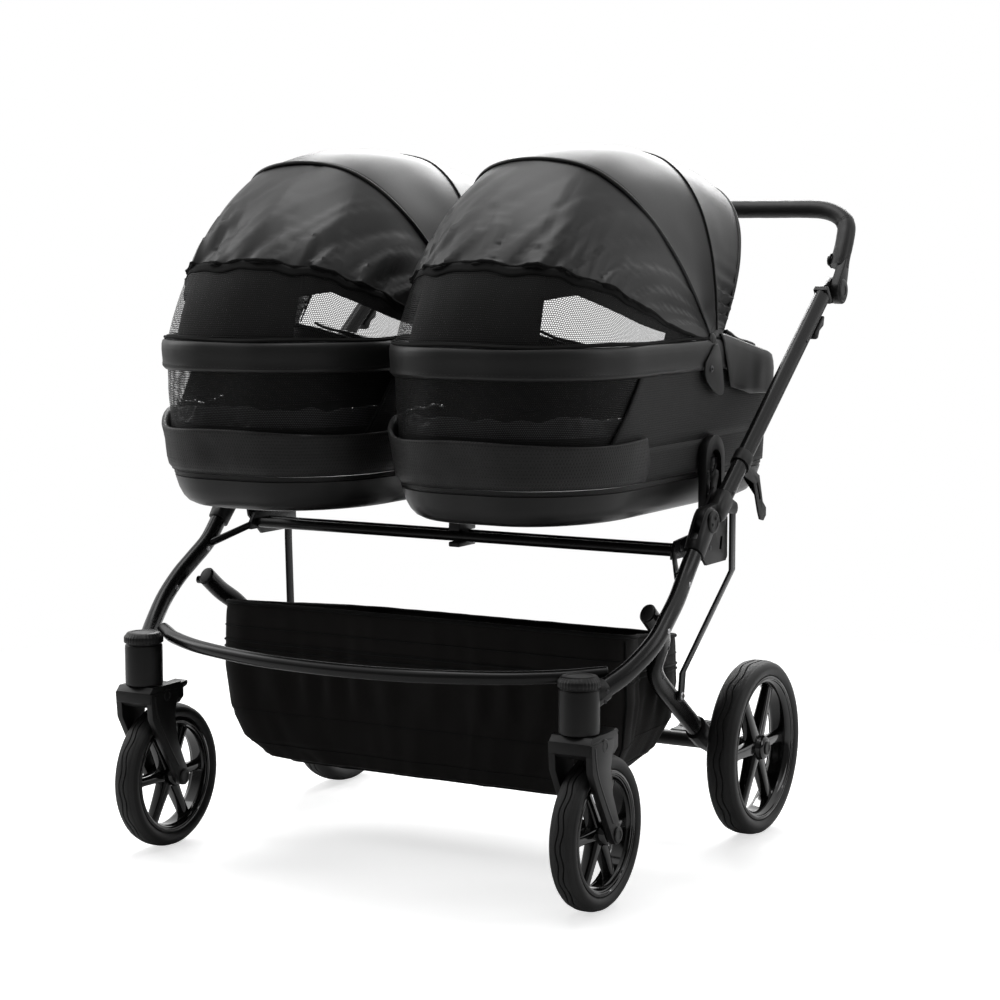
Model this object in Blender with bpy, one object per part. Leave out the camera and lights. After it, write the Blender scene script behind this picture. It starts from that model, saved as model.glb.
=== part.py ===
"""Twin pram: a folding tube frame on four wheels, with two carrycots that lift off.

Metres, +Z up. The front of the pram is -Y and the floor is z = 0. The origin is the middle of the footprint.
The right-hand pieces are drawn at +X, and the left-hand ones are their mirror images.
"""
from math import atan2, copysign, cos, hypot, pi, radians, sin

import bmesh
import bpy
from mathutils import Matrix, Vector

# Frame
GAP = 0.0003
SIDE_X = 0.430
TUBE_ACROSS = 0.012
TUBE_DEEP = 0.015
FOLD_YZ = (-0.113, 0.535)
REAR_YZ = (-0.220, 0.4015)
UPPER_START = Vector((SIDE_X, -0.067, 0.546))
UPPER_END = Vector((SIDE_X, 0.335, 0.8563))
HANDLE_YZ = (0.390, 0.866)
LINK_YZ = (0.027, 0.540)
STRUT_FOOT_YZ = (-0.045, 0.2545)
CROSS_TUBE_Y = (-0.105, -0.075)
CROSS_TUBE_Z = 0.4855
CROSS_TUBE_R = 0.008

# Wheels
FRONT_RADIUS = 0.113
REAR_RADIUS = 0.140
FRONT_TRACK = 0.380
REAR_TRACK = 0.393
SWIVEL_Y = -0.4155
FRONT_AXLE_Y = -0.3625
REAR_AXLE_Y = 0.164
SEGMENTS = 36
SPOKES = 6

# Carrycots
COT_X = 0.206
HEAD_Y = -0.438
FOOT_Y = 0.272
BASE_Z = 0.545
WALL_Z = 0.600
RIM_Z = 0.800
FOOT_RIM_Z = 0.752
WALL_HALF = 0.185
PIVOT_YZ = (0.006, 0.775)
HOOD_HALF = 0.187
REAR_BOW = (129.0, 0.375, 2.6)
MIDDLE_BOW = (90.0, 0.312, 3.0)
FRONT_BOW = (54.5, 0.330, 3.0)

X_AXIS = Vector((1, 0, 0))
Z_AXIS = Vector((0, 0, 1))

BLACK_PAINT = ((0.020, 0.020, 0.021), 0.35, 0.4)
BLACK_PLASTIC = ((0.022, 0.022, 0.023), 0.50, 0.0)
GLOSS_PLASTIC = ((0.012, 0.012, 0.012), 0.15, 0.0)
RUBBER = ((0.018, 0.018, 0.018), 0.75, 0.0)
LEATHER = ((0.030, 0.030, 0.031), 0.55, 0.0)
WOVEN = ((0.020, 0.019, 0.019), 0.90, 0.0)
STEEL = ((0.030, 0.030, 0.032), 0.30, 0.8)


def material(name, look):
    colour, roughness, metallic = look
    mat = bpy.data.materials.get(name) or bpy.data.materials.new(name)
    mat.use_nodes = True
    shader = mat.node_tree.nodes["Principled BSDF"]
    shader.inputs["Base Color"].default_value = (*colour, 1)
    shader.inputs["Roughness"].default_value = roughness
    shader.inputs["Metallic"].default_value = metallic
    return mat


# A shape is a pair: a list of points and a list of faces.

def loft(rings, caps=True, closed=False):
    """Skins a row of rings that have the same number of points."""
    size = len(rings[0])
    points = [Vector(p) for ring in rings for p in ring]
    faces = []
    for row in range(len(rings) if closed else len(rings) - 1):
        low = row * size
        high = (row + 1) % len(rings) * size
        for i in range(size):
            j = (i + 1) % size
            faces.append((low + i, low + j, high + j, high + i))
    if caps and not closed:
        faces.append(tuple(reversed(range(size))))
        faces.append(tuple(range(len(points) - size, len(points))))
    return points, faces


def prism(outline, low, high):
    """An outline in Y and Z, extruded along X."""
    return loft([[(x, y, z) for y, z in outline] for x in (low, high)])


def prism_y(outline, low, high):
    """An outline in X and Z, extruded along Y."""
    return loft([[(x, y, z) for x, z in outline] for y in (low, high)])


def prism_z(outline, low, high):
    """An outline in X and Y, extruded along Z."""
    return loft([[(x, y, z) for x, y in outline] for z in (low, high)])


def circle(centre, radius, count=12, turn=0.0):
    """Points of a circle in a plane."""
    step = 2 * pi / count
    return [(centre[0] + radius * cos(turn + step * i), centre[1] + radius * sin(turn + step * i))
            for i in range(count)]


def hull(points):
    """The convex outline around points in a plane."""
    points = sorted(set(points))

    def half(row):
        out = []
        for p in row:
            while len(out) > 1 and ((out[-1][0] - out[-2][0]) * (p[1] - out[-2][1])
                                    - (out[-1][1] - out[-2][1]) * (p[0] - out[-2][0])) <= 1e-9:
                out.pop()
            out.append(p)
        return out[:-1]

    return half(points) + half(points[::-1])


def rod(centre_yz, radius, low, high, count=12):
    """A round bar along X."""
    return prism(circle(centre_yz, radius, count), low, high)


def smooth(points, steps=4):
    """A Catmull-Rom curve through the points."""
    points = [Vector(p) for p in points]
    ends = [points[0] * 2 - points[1], *points, points[-1] * 2 - points[-2]]
    curve = []
    for a, b, c, d in zip(ends, ends[1:], ends[2:], ends[3:]):
        for i in range(steps):
            t = i / steps
            curve.append(0.5 * (2 * b + (c - a) * t + (2 * a - 5 * b + 4 * c - d) * t * t
                                + (3 * b - a - 3 * c + d) * t ** 3))
    return curve + [points[-1]]


def sweep(path, half_reference, half_other, reference=X_AXIS, sides=12):
    """An oval tube along a path. half_reference is measured along the reference direction."""
    rings = []
    for i, point in enumerate(path):
        along = (path[min(i + 1, len(path) - 1)] - path[max(i - 1, 0)]).normalized()
        first = (reference - along * reference.dot(along)).normalized()
        second = along.cross(first)
        rings.append([point + first * half_reference * cos(2 * pi * k / sides)
                      + second * half_other * sin(2 * pi * k / sides) for k in range(sides)])
    return loft(rings)


def bar(stations, across, count=16, power=3.0):
    """A bar with rounded corners. A station is its centre, its half width along X and its half depth."""
    rings = []
    for centre, half_x, half_deep in stations:
        ring = []
        for k in range(count):
            c, s = cos(2 * pi * k / count), sin(2 * pi * k / count)
            ring.append(centre + X_AXIS * half_x * copysign(abs(c) ** (2 / power), c)
                        + across * half_deep * copysign(abs(s) ** (2 / power), s))
        rings.append(ring)
    return loft(rings)


def lathe_x(profile, centre_yz, x, count, turn=0.0):
    """A closed profile of (radius, x) pairs turned around an axis along X."""
    rings = []
    for radius, along in profile:
        rings.append([(x + along, *p) for p in circle(centre_yz, radius, count, turn)])
    return loft(rings, closed=True)


def stack_z(profile, centre_xy, count, turn=0.0):
    """A solid of revolution around a vertical axis, from (radius, z) pairs, bottom to top."""
    return loft([[(*p, z) for p in circle(centre_xy, radius, count, turn)] for radius, z in profile])


def mirrored(shape):
    """The shape on the other side of the pram."""
    points, faces = shape
    return [Vector((-p[0], p[1], p[2])) for p in points], [tuple(reversed(face)) for face in faces]


def to_mesh(name, shape, origin=(0, 0, 0)):
    points, faces = shape
    mesh = bpy.data.meshes.new(name)
    mesh.from_pydata([Vector(p) - Vector(origin) for p in points], [], faces)
    work = bmesh.new()
    work.from_mesh(mesh)
    bmesh.ops.recalc_face_normals(work, faces=work.faces)
    work.to_mesh(mesh)
    work.free()
    return mesh


def combine(shape, *steps):
    """Joins or cuts a shape with exact Booleans. A step is an operation and the other shape."""
    base = bpy.data.objects.new("base", to_mesh("base", shape))
    bpy.context.collection.objects.link(base)
    tools = []
    for operation, other in steps:
        tool = bpy.data.objects.new("tool", to_mesh("tool", other))
        bpy.context.collection.objects.link(tool)
        tools.append(tool)
        modifier = base.modifiers.new(operation, "BOOLEAN")
        modifier.operation = operation
        modifier.object = tool
    result = base.evaluated_get(bpy.context.evaluated_depsgraph_get())
    mesh = bpy.data.meshes.new_from_object(result)
    work = bmesh.new()
    work.from_mesh(mesh)
    bmesh.ops.remove_doubles(work, verts=work.verts, dist=1e-5)
    bmesh.ops.dissolve_degenerate(work, edges=work.edges, dist=1e-6)
    work.to_mesh(mesh)
    work.free()
    points = [v.co.copy() for v in mesh.vertices]
    faces = [tuple(polygon.vertices) for polygon in mesh.polygons]
    for item in [base, *tools]:
        bpy.data.objects.remove(item)
    return points, faces


def place(name, shape, look, origin=(0, 0, 0)):
    """Makes one named piece, with its origin on its joint's axis where it moves."""
    mesh = to_mesh(name, shape, origin)
    mesh.materials.append(material(name + "_finish", look))
    mesh.shade_smooth()
    mesh.set_sharp_from_angle(angle=radians(35))
    piece = bpy.data.objects.new(name, mesh)
    piece.location = origin
    bpy.context.collection.objects.link(piece)
    return piece


def pair(name, shape, look, origin=(0, 0, 0)):
    """Places a right-hand piece and its left-hand mirror image."""
    place(name + "_right", shape, look, origin)
    place(name + "_left", mirrored(shape), look, (-origin[0], origin[1], origin[2]))


# Side frames

UPPER_ALONG = (UPPER_END - UPPER_START).normalized()
UPPER_NORMAL = Vector((0, -UPPER_ALONG.z, UPPER_ALONG.y))


def on_upper(along, above):
    """A point (y, z) beside the upper tube, along it from its start and above its centre line."""
    point = UPPER_START + UPPER_ALONG * along + UPPER_NORMAL * above
    return point.y, point.z


LEG_PATH = smooth([(0.430, -0.150, 0.490), (0.430, -0.180, 0.459), (0.4345, -0.215, 0.433),
                   (0.4365, -0.251, 0.409), (0.4345, -0.292, 0.378), (0.420, -0.340, 0.346),
                   (0.402, -0.381, 0.325)], 3)
LEG_TOP = LEG_PATH[0]
LEG_ALONG = (LEG_PATH[1] - LEG_PATH[0]).normalized()


def front_legs():
    pair("front_leg", sweep(LEG_PATH, TUBE_ACROSS, TUBE_DEEP), BLACK_PAINT)


def fold_forks():
    """A fork on top of each front leg. The upper frame's tongue turns between its two cheeks."""
    side = LEG_ALONG.cross(X_AXIS)
    pivot = Vector((SIDE_X, *FOLD_YZ))
    leg_end = LEG_TOP - LEG_ALONG * GAP
    stations = [(pivot - LEG_ALONG * 0.0210, 0.0110, 0.0070), (pivot - LEG_ALONG * 0.0180, 0.0135, 0.0125),
                (pivot - LEG_ALONG * 0.0100, 0.0145, 0.0190), (pivot, 0.0145, 0.0212),
                (pivot.lerp(leg_end, 0.3), 0.0145, 0.0205), (pivot.lerp(leg_end, 0.65), 0.0143, 0.0185),
                (leg_end, 0.0140, 0.0168)]
    floor = Vector(FOLD_YZ) + Vector(LEG_ALONG.yz) * 0.043
    out, wide = Vector(LEG_ALONG.yz) * -0.12, Vector(side.yz) * 0.05
    slot = [tuple(floor + wide), tuple(floor - wide), tuple(floor - wide + out), tuple(floor + wide + out)]
    shape = combine(bar(stations, side), ("DIFFERENCE", prism(slot, 0.4237, 0.4363)),
                    ("UNION", rod(FOLD_YZ, 0.005, 0.4200, 0.4400)))
    pair("fold_fork", shape, BLACK_PLASTIC)


def fold_knuckles():
    """The tongue, the socket of the upper tube, the link that pulls the strut and the slotted side plate."""
    pivot = (SIDE_X, *FOLD_YZ)
    tongue = hull(circle(FOLD_YZ, 0.0205, 16) + [on_upper(0.004, 0.0135), on_upper(0.004, -0.0135)])
    stations = [(UPPER_START + UPPER_ALONG * along, half_x, half_deep) for along, half_x, half_deep in (
        (-0.0140, 0.0110, 0.0112), (-0.0090, 0.0132, 0.0138), (-0.0020, 0.0136, 0.0166),
        (0.0300 - GAP, 0.0134, 0.0164))]
    link = hull(circle(LINK_YZ, 0.0095, 12) + [on_upper(0.004, -0.004), on_upper(0.004, 0.008),
                                               on_upper(0.045, 0.004)])
    boss = circle((-0.0430, 0.5415), 0.0045, 8)
    plate = hull([(-0.034, 0.578), (0.016, 0.527), (0.016, 0.467), (0.010, 0.461), (-0.060, 0.461),
                  (-0.096, 0.494), (-0.100, 0.512), (-0.085, 0.535)])
    slot = [(-0.014, 0.480), (-0.006, 0.480), (-0.002, 0.500), (-0.010, 0.500)]
    shape = combine(prism(tongue, 0.4242, 0.4358),
                    ("UNION", bar(stations, UPPER_NORMAL)),
                    ("DIFFERENCE", rod(FOLD_YZ, 0.0056, 0.40, 0.45)),
                    ("UNION", prism(link, 0.4152, 0.4175)),
                    ("UNION", prism(boss, 0.4080, 0.4160)),
                    ("UNION", prism(plate, 0.4055, 0.4095)),
                    ("DIFFERENCE", prism(slot, 0.400, 0.4145)))
    pair("fold_knuckle", shape, BLACK_PLASTIC, pivot)


def upper_tubes():
    start = UPPER_START + UPPER_ALONG * 0.030
    pair("upper_tube", sweep([start, UPPER_END], TUBE_ACROSS, TUBE_DEEP), BLACK_PAINT,
         (SIDE_X, *FOLD_YZ))


def fold_triggers():
    """Slides on the undersides of the upper tubes. Pulling them up frees the fold."""
    middle = 0.457
    outline = [on_upper(middle - 0.024, -0.0158), on_upper(middle + 0.022, -0.0158),
               on_upper(middle + 0.024, -0.0190), on_upper(middle + 0.012, -0.0285),
               on_upper(middle - 0.006, -0.0245), on_upper(middle - 0.018, -0.0300),
               on_upper(middle - 0.026, -0.0260)]
    pair("fold_trigger", prism(outline[::-1], 0.4205, 0.4395), BLACK_PLASTIC,
         (SIDE_X, *on_upper(middle, -0.020)))


def transport_strap():
    """A rubber loop around the right upper tube, with a hanging tongue that has a slot."""
    loop = []
    for half_x, half_d in ((0.0150, 0.0180), (0.0125, 0.0155)):
        for along in (0.100, 0.122):
            centre = UPPER_START + UPPER_ALONG * along
            loop.append([centre + X_AXIS * half_x * cos(a) + UPPER_NORMAL * half_d * sin(a)
                         for a in [2 * pi * k / 16 for k in range(16)]])
    loop = [loop[0], loop[1], loop[3], loop[2]]
    tongue = [on_upper(0.098, -0.0170), (0.064, 0.5760), (0.083, 0.5300), (0.0905, 0.5170),
              (0.103, 0.5140), (0.1130, 0.5215), (0.1130, 0.5335), (0.1000, 0.5440), (0.0860, 0.5860),
              on_upper(0.124, -0.0170)]
    slot = [(0.0745, 0.5745), (0.0865, 0.5475), (0.0915, 0.5495), (0.0795, 0.5765)]
    shape = combine(loft(loop, closed=True),
                    ("UNION", prism(tongue, 0.4285, 0.4315)),
                    ("DIFFERENCE", prism(slot, 0.42, 0.44)))
    place("transport_strap", shape, RUBBER, (SIDE_X, *FOLD_YZ))


def handle_joints():
    """End pieces of the upper tubes. The handlebar's discs turn against them."""
    ends = [on_upper((UPPER_END - UPPER_START).length + GAP, side * 0.0148) for side in (1, -1)]
    stub = ends + [on_upper((UPPER_END - UPPER_START).length + 0.009, side * 0.0148) for side in (-1, 1)]
    shape = combine(prism(hull(circle(HANDLE_YZ, 0.0215, 16) + ends), 0.4180, 0.4296),
                    ("UNION", prism(stub, 0.4185, 0.4415)))
    pair("handle_joint", shape, BLACK_PLASTIC, (SIDE_X, *HANDLE_YZ))


def handlebar():
    """The padded bar, with a disc at each end and a pocket for each button."""
    arm = (0.408, 0.904)
    right = [(0.4303, *arm), (0.4303, 0.4165, 0.921), (0.4303, 0.432, 0.948), (0.4255, 0.4475, 0.973),
             (0.4060, 0.4560, 0.9900), (0.3760, 0.4595, 0.9985), (0.330, 0.4600, 1.0000)]
    right = smooth(right, 2)
    path = right + [Vector((-p.x, p.y, p.z)) for p in reversed(right)]
    tilt = Vector((0, -0.888, 0.460))
    neck = hull(circle(HANDLE_YZ, 0.0225, 16) + circle((0.4095, 0.9075), 0.0110, 8))
    steps = []
    for side in (1, -1):
        pocket = rod((0.4125, 0.914), 0.0098, 0.400, 0.4225, 12)
        disc = prism(neck, 0.4300, 0.4445)
        steps.append(("UNION", disc if side > 0 else mirrored(disc)))
        steps.append(("DIFFERENCE", pocket if side > 0 else mirrored(pocket)))
    shape = combine(sweep(path, 0.015, 0.015, tilt), *steps)
    place("handlebar", shape, LEATHER, (0, *HANDLE_YZ))


def handle_buttons():
    pair("handle_button", rod((0.4125, 0.914), 0.0090, 0.4095, 0.4185, 12), BLACK_PLASTIC,
         (0.4140, 0.4125, 0.914))


# Front frame

def front_crossbar():
    """A bowed tube between the front legs, ahead of the basket."""
    half = [(0.3910, -0.3510, 0.3415), (0.370, -0.3675, 0.3400), (0.335, -0.3935, 0.3375),
            (0.260, -0.4290, 0.3345), (0.150, -0.4560, 0.3315), (0.050, -0.4650, 0.3300)]
    path = smooth(half + [(-x, y, z) for x, y, z in reversed(half)], 2)
    place("front_crossbar", sweep(path, 0.0100, 0.0100, Z_AXIS, 10), BLACK_PAINT)


def cross_tubes():
    for name, y in zip(("front_cross_tube", "rear_cross_tube"), CROSS_TUBE_Y):
        place(name, rod((y, CROSS_TUBE_Z), CROSS_TUBE_R, -0.3797, 0.3797), BLACK_PAINT)


def cot_brackets():
    """Plates on the ends of the cross tubes, with an arm to the leg and the lug that a cot drops on."""
    plate = hull([(-0.126, 0.4755), (-0.126, 0.4880), (-0.115, 0.5020), (0.002, 0.5120), (0.004, 0.4780),
                  (-0.060, 0.4755)])
    lug = [(0.3820, 0.478), (0.3970, 0.478), (0.3970, 0.500), (0.3985, 0.534), (0.3985, 0.620),
           (0.3895, 0.620), (0.3870, 0.560), (0.3870, 0.512), (0.3820, 0.512)]
    arm = []
    for x, y, z, half_y, half_z in ((0.4174, -0.180, 0.459, 0.0100, 0.0065), (0.3830, -0.120, 0.484, 0.0080, 0.0060)):
        arm.append([(x, y + half_y * cos(a), z + half_z * sin(a)) for a in [pi * k / 6 for k in range(12)]])
    shape = combine(prism(plate, 0.3800, 0.3858),
                    ("UNION", prism_y(lug, -0.032, 0.000)),
                    ("UNION", loft(arm)))
    pair("cot_bracket", shape, STEEL)


def centre_support():
    """A clamp on the cross tubes and a post that both cots rest against."""
    middle = sum(CROSS_TUBE_Y) / 2
    top = CROSS_TUBE_Z + CROSS_TUBE_R + GAP
    bottom = CROSS_TUBE_Z - CROSS_TUBE_R - GAP
    web = CROSS_TUBE_Y[1] - middle - CROSS_TUBE_R - 2 * GAP
    half = 0.026
    outline = [(middle - half, bottom - 0.008), (middle + half, bottom - 0.008), (middle + half, bottom),
               (middle + web, bottom), (middle + web, top), (middle + half, top),
               (middle + half, top + 0.006), (middle + 0.014, 0.640), (middle - 0.014, 0.640),
               (middle - half, top + 0.006), (middle - half, top), (middle - web, top),
               (middle - web, bottom), (middle - half, bottom)]
    place("centre_support", prism(outline, -0.0100, 0.0100), BLACK_PLASTIC)


# Casters

def caster_housings():
    leg_way = (LEG_PATH[-1] - LEG_PATH[-2]).normalized()
    socket_end = LEG_PATH[-1] + leg_way * GAP
    socket = sweep([socket_end, socket_end + leg_way * 0.010, Vector((FRONT_TRACK + 0.002, SWIVEL_Y, 0.302))],
                   0.0150, 0.0180)
    body = stack_z([(0.0285, 0.2660), (0.0285, 0.3270), (0.0265, 0.3285), (0.0265, 0.3300),
                    (0.0295, 0.3315), (0.0295, 0.3405), (0.0250, 0.3460)],
                   (FRONT_TRACK, SWIVEL_Y), 20)
    shape = combine(body, ("UNION", socket),
                    ("DIFFERENCE", stack_z([(0.0068, 0.250), (0.0068, 0.3225)], (FRONT_TRACK, SWIVEL_Y), 12)))
    pair("caster_housing", shape, BLACK_PLASTIC)


def forks():
    axle = (FRONT_AXLE_Y, FRONT_RADIUS)
    crown = hull([(-0.4440, 0.2400), (-0.4440, 0.2560), (-0.4360, 0.2645), (-0.3660, 0.2645),
                  (-0.3590, 0.2570), (-0.3590, 0.2400), (-0.3700, 0.2320), (-0.4340, 0.2320)])
    arm = ([(-0.4435, 0.2550), (-0.4400, 0.2150), (-0.4180, 0.1750)]
           + [(axle[0] + 0.0140 * cos(a), axle[1] + 0.0140 * sin(a))
              for a in [radians(205 + 37 * i) for i in range(5)]]
           + [(-0.3780, 0.1750), (-0.3840, 0.2150), (-0.3760, 0.2450), (-0.3780, 0.2550)])
    shape = combine(prism(crown, FRONT_TRACK - 0.0325, FRONT_TRACK + 0.0325),
                    ("UNION", prism(arm, FRONT_TRACK + 0.0245, FRONT_TRACK + 0.0345)),
                    ("UNION", prism(arm, FRONT_TRACK - 0.0345, FRONT_TRACK - 0.0245)),
                    ("UNION", rod(axle, 0.0045, FRONT_TRACK - 0.0300, FRONT_TRACK + 0.0300)),
                    ("UNION", stack_z([(0.0060, 0.2600), (0.0060, 0.3180)], (FRONT_TRACK, SWIVEL_Y), 12)),
                    ("DIFFERENCE", prism([(-0.3770, 0.22), (-0.35, 0.22), (-0.35, 0.28), (-0.3770, 0.28)],
                                         FRONT_TRACK - 0.0140, FRONT_TRACK + 0.0140)))
    pair("front_fork", shape, BLACK_PLASTIC, (FRONT_TRACK, SWIVEL_Y, 0.2645))


def swivel_levers():
    """Rear levers on the forks that lock the casters straight ahead."""
    outline = [(-0.3715, 0.2440), (-0.3450, 0.2430), (-0.3220, 0.2500), (-0.3210, 0.2580),
               (-0.3450, 0.2560), (-0.3715, 0.2580)]
    pair("swivel_lever", prism(outline, FRONT_TRACK - 0.0133, FRONT_TRACK + 0.0133), BLACK_PLASTIC,
         (FRONT_TRACK, -0.3660, 0.2510))


# Wheels

def tyre(radius, inner, half_width, x, axle_y):
    """A tyre with a flat tread. The lowest facet lies on the floor."""
    outer = radius / cos(pi / SEGMENTS)
    profile = [(inner, -half_width + 0.004), (inner + 0.009, -half_width), (outer - 0.008, -half_width + 0.002),
               (outer, -half_width * 0.42), (outer, half_width * 0.42), (outer - 0.008, half_width - 0.002),
               (inner + 0.009, half_width), (inner, half_width - 0.004)]
    return lathe_x(profile, (axle_y, radius), x, SEGMENTS, pi / SEGMENTS)


def rim(outer, inner, half_width, radius, x, axle_y, hub_radius, hub_half, bore):
    """A deep rim with straight spokes that join a hub, all one piece."""
    spoke_rim, spoke_hub, hub_count = 0.0075, 0.0120, 2 * SPOKES
    ring = [(outer, -half_width), (outer, half_width), (inner + 0.003, half_width), (inner, spoke_rim),
            (inner, -spoke_rim), (inner + 0.003, -half_width)]
    hub = [(bore, -hub_half), (hub_radius * 0.8, -hub_half), (hub_radius, -spoke_hub), (hub_radius, spoke_hub),
           (hub_radius * 0.8, hub_half), (bore, hub_half)]
    centre = (axle_y, radius)
    ring_points, ring_faces = lathe_x(ring, centre, x, SEGMENTS, pi / SEGMENTS)
    turn = pi / SEGMENTS + pi / SEGMENTS - pi / hub_count
    hub_points, hub_faces = lathe_x(hub, centre, x, hub_count, turn)
    shift = len(ring_points)
    spoke_faces = []
    open_ring, open_hub = set(), set()
    for spoke in range(SPOKES):
        i = spoke * SEGMENTS // SPOKES
        k = spoke * 2
        r = [3 * SEGMENTS + i, 3 * SEGMENTS + (i + 1) % SEGMENTS,
             4 * SEGMENTS + (i + 1) % SEGMENTS, 4 * SEGMENTS + i]
        h = [shift + 3 * hub_count + k, shift + 3 * hub_count + (k + 1) % hub_count,
             shift + 2 * hub_count + (k + 1) % hub_count, shift + 2 * hub_count + k]
        open_ring.add(frozenset(r))
        open_hub.add(frozenset(h))
        for a in range(4):
            b = (a + 1) % 4
            spoke_faces.append((r[a], r[b], h[b], h[a]))
    faces = [face for face in ring_faces if frozenset(face) not in open_ring]
    for face in hub_faces:
        moved = tuple(shift + v for v in face)
        if frozenset(moved) not in open_hub:
            faces.append(moved)
    return ring_points + hub_points, faces + spoke_faces


def wheels():
    front_axle = (FRONT_TRACK, FRONT_AXLE_Y, FRONT_RADIUS)
    rear_axle = (REAR_TRACK, REAR_AXLE_Y, REAR_RADIUS)
    pair("front_tyre", tyre(FRONT_RADIUS, 0.0905, 0.0210, FRONT_TRACK, FRONT_AXLE_Y), RUBBER, front_axle)
    pair("front_rim", rim(0.0901, 0.0790, 0.0175, FRONT_RADIUS, FRONT_TRACK, FRONT_AXLE_Y,
                          0.0170, 0.0225, 0.0053), GLOSS_PLASTIC, front_axle)
    pair("rear_tyre", tyre(REAR_RADIUS, 0.1155, 0.0240, REAR_TRACK, REAR_AXLE_Y), RUBBER, rear_axle)
    pair("rear_rim", rim(0.1151, 0.1020, 0.0205, REAR_RADIUS, REAR_TRACK, REAR_AXLE_Y,
                         0.0190, 0.0225, 0.0068), GLOSS_PLASTIC, rear_axle)


# Rear frame

REAR_LEG_PATH = smooth([(0.3950, -0.232, 0.411), (0.3940, -0.196, 0.3835), (0.3860, -0.163, 0.360),
                        (0.3700, -0.143, 0.333), (0.3570, -0.128, 0.309), (0.3500, -0.095, 0.281),
                        (0.3450, -0.031, 0.241), (0.3450, 0.045, 0.188)], 3)


def rear_legs():
    shape = combine(sweep(REAR_LEG_PATH, TUBE_ACROSS, 0.0155),
                    ("UNION", rod(REAR_YZ, 0.0065, 0.4000, 0.4205)),
                    ("UNION", rod(STRUT_FOOT_YZ, 0.0075, 0.3500, 0.3592)),
                    ("UNION", rod(STRUT_FOOT_YZ, 0.0040, 0.3560, 0.3660, 10)))
    pair("rear_leg", shape, BLACK_PAINT, (0.395, *REAR_YZ))


def rear_axle():
    """The cross beam, the housings on its ends and the stub axles that carry the wheels."""
    centre = (REAR_AXLE_Y, REAR_RADIUS)
    profile = [(0.0060, -0.4120), (0.0060, -0.3640), (0.0185, -0.3620), (0.0185, -0.3200), (0.0125, -0.3190),
               (0.0125, 0.3190), (0.0185, 0.3200), (0.0185, 0.3620), (0.0060, 0.3640), (0.0060, 0.4120)]
    beam = loft([[(x, *p) for p in circle(centre, radius, 12)] for radius, x in profile])
    leg_way = (REAR_LEG_PATH[-1] - REAR_LEG_PATH[-2]).normalized()
    start = REAR_LEG_PATH[-1] + leg_way * GAP
    housing = sweep([start, start + leg_way * 0.030, Vector((0.3430, 0.125, 0.1480)),
                     Vector((0.3430, 0.170, 0.1400))], 0.0165, 0.0200)
    shape = combine(beam, ("UNION", housing), ("UNION", mirrored(housing)))
    place("rear_axle", shape, BLACK_PLASTIC, (0, *REAR_YZ))


def fold_struts():
    """Flat steel bars from the links of the upper frame down to the rear legs."""
    path = [(0.4125, *LINK_YZ), (0.4125, 0.0270, 0.4440), (0.3618, -0.0400, 0.2900), (0.3618, *STRUT_FOOT_YZ)]
    rings = []
    for x, y, z in path:
        rings.append([(x - 0.002, y - 0.0085, z), (x + 0.002, y - 0.0085, z),
                      (x + 0.002, y + 0.0085, z), (x - 0.002, y + 0.0085, z)])
    shape = combine(loft(rings), ("UNION", rod(LINK_YZ, 0.0090, 0.4105, 0.4145)),
                    ("UNION", rod(STRUT_FOOT_YZ, 0.0090, 0.3598, 0.3638)),
                    ("DIFFERENCE", rod(STRUT_FOOT_YZ, 0.0046, 0.35, 0.38, 10)))
    pair("fold_strut", shape, STEEL, (0.3618, *STRUT_FOOT_YZ))


def brake_pedal():
    """A foot pedal behind the right end of the axle."""
    outline = [(0.1800, 0.1330), (0.2050, 0.1330), (0.2330, 0.1430), (0.2420, 0.1530), (0.2370, 0.1600),
               (0.2080, 0.1510), (0.1800, 0.1510)]
    place("brake_pedal", prism(outline, 0.2350, 0.3150), BLACK_PLASTIC, (0.2750, 0.1870, 0.1420))


def basket_half_width(y):
    """Half the basket's mouth at y. It narrows where the rear legs run beside it."""
    stations = [(-0.246, 0.366), (-0.200, 0.360), (-0.150, 0.343), (-0.120, 0.330), (0.000, 0.322), (0.100, 0.300)]
    for (y0, x0), (y1, x1) in zip(stations, stations[1:]):
        if y <= y1:
            return x0 + (x1 - x0) * (y - y0) / (y1 - y0)
    return stations[-1][1]


def basket():
    """The fabric basket, open on top. Its mouth hangs from the rear legs."""
    front, rear = -0.246, 0.098

    def ring(inset_x, inset_front, inset_rear, z_front, z_rear):
        low, high = front + inset_front, rear - inset_rear
        side = [(0.60, low), (0.86, low), (0.955, low + 0.008), (0.993, low + 0.024), (1.0, low + 0.052),
                (1.0, -0.150), (1.0, -0.120), (1.0, -0.040), (1.0, high - 0.070), (0.985, high - 0.035),
                (0.93, high - 0.010), (0.80, high), (0.50, high)]
        points = [((basket_half_width(y) - inset_x) * share, y) for share, y in side]
        loop = points + [(-x, y) for x, y in reversed(points)]
        return [(x, y, z_front + (z_rear - z_front) * (y - front) / (rear - front)) for x, y in loop]

    outer = [ring(0.128, 0.045, 0.045, 0.1150, 0.1200), ring(0.066, 0.020, 0.024, 0.1260, 0.1300),
             ring(0.030, 0.006, 0.010, 0.1560, 0.1580), ring(0.008, 0.000, 0.002, 0.2050, 0.2000),
             ring(0.000, -0.002, 0.000, 0.2700, 0.2500), ring(0.004, 0.000, 0.002, 0.3780, 0.3250)]
    inner = [ring(0.010, 0.007, 0.009, 0.3780, 0.3250), ring(0.008, 0.006, 0.008, 0.2700, 0.2500),
             ring(0.016, 0.008, 0.010, 0.2080, 0.2030), ring(0.038, 0.014, 0.018, 0.1620, 0.1640),
             ring(0.072, 0.027, 0.031, 0.1340, 0.1380), ring(0.130, 0.048, 0.048, 0.1230, 0.1280)]
    place("basket", loft(outer + inner), WOVEN, (0, *REAR_YZ))


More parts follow.
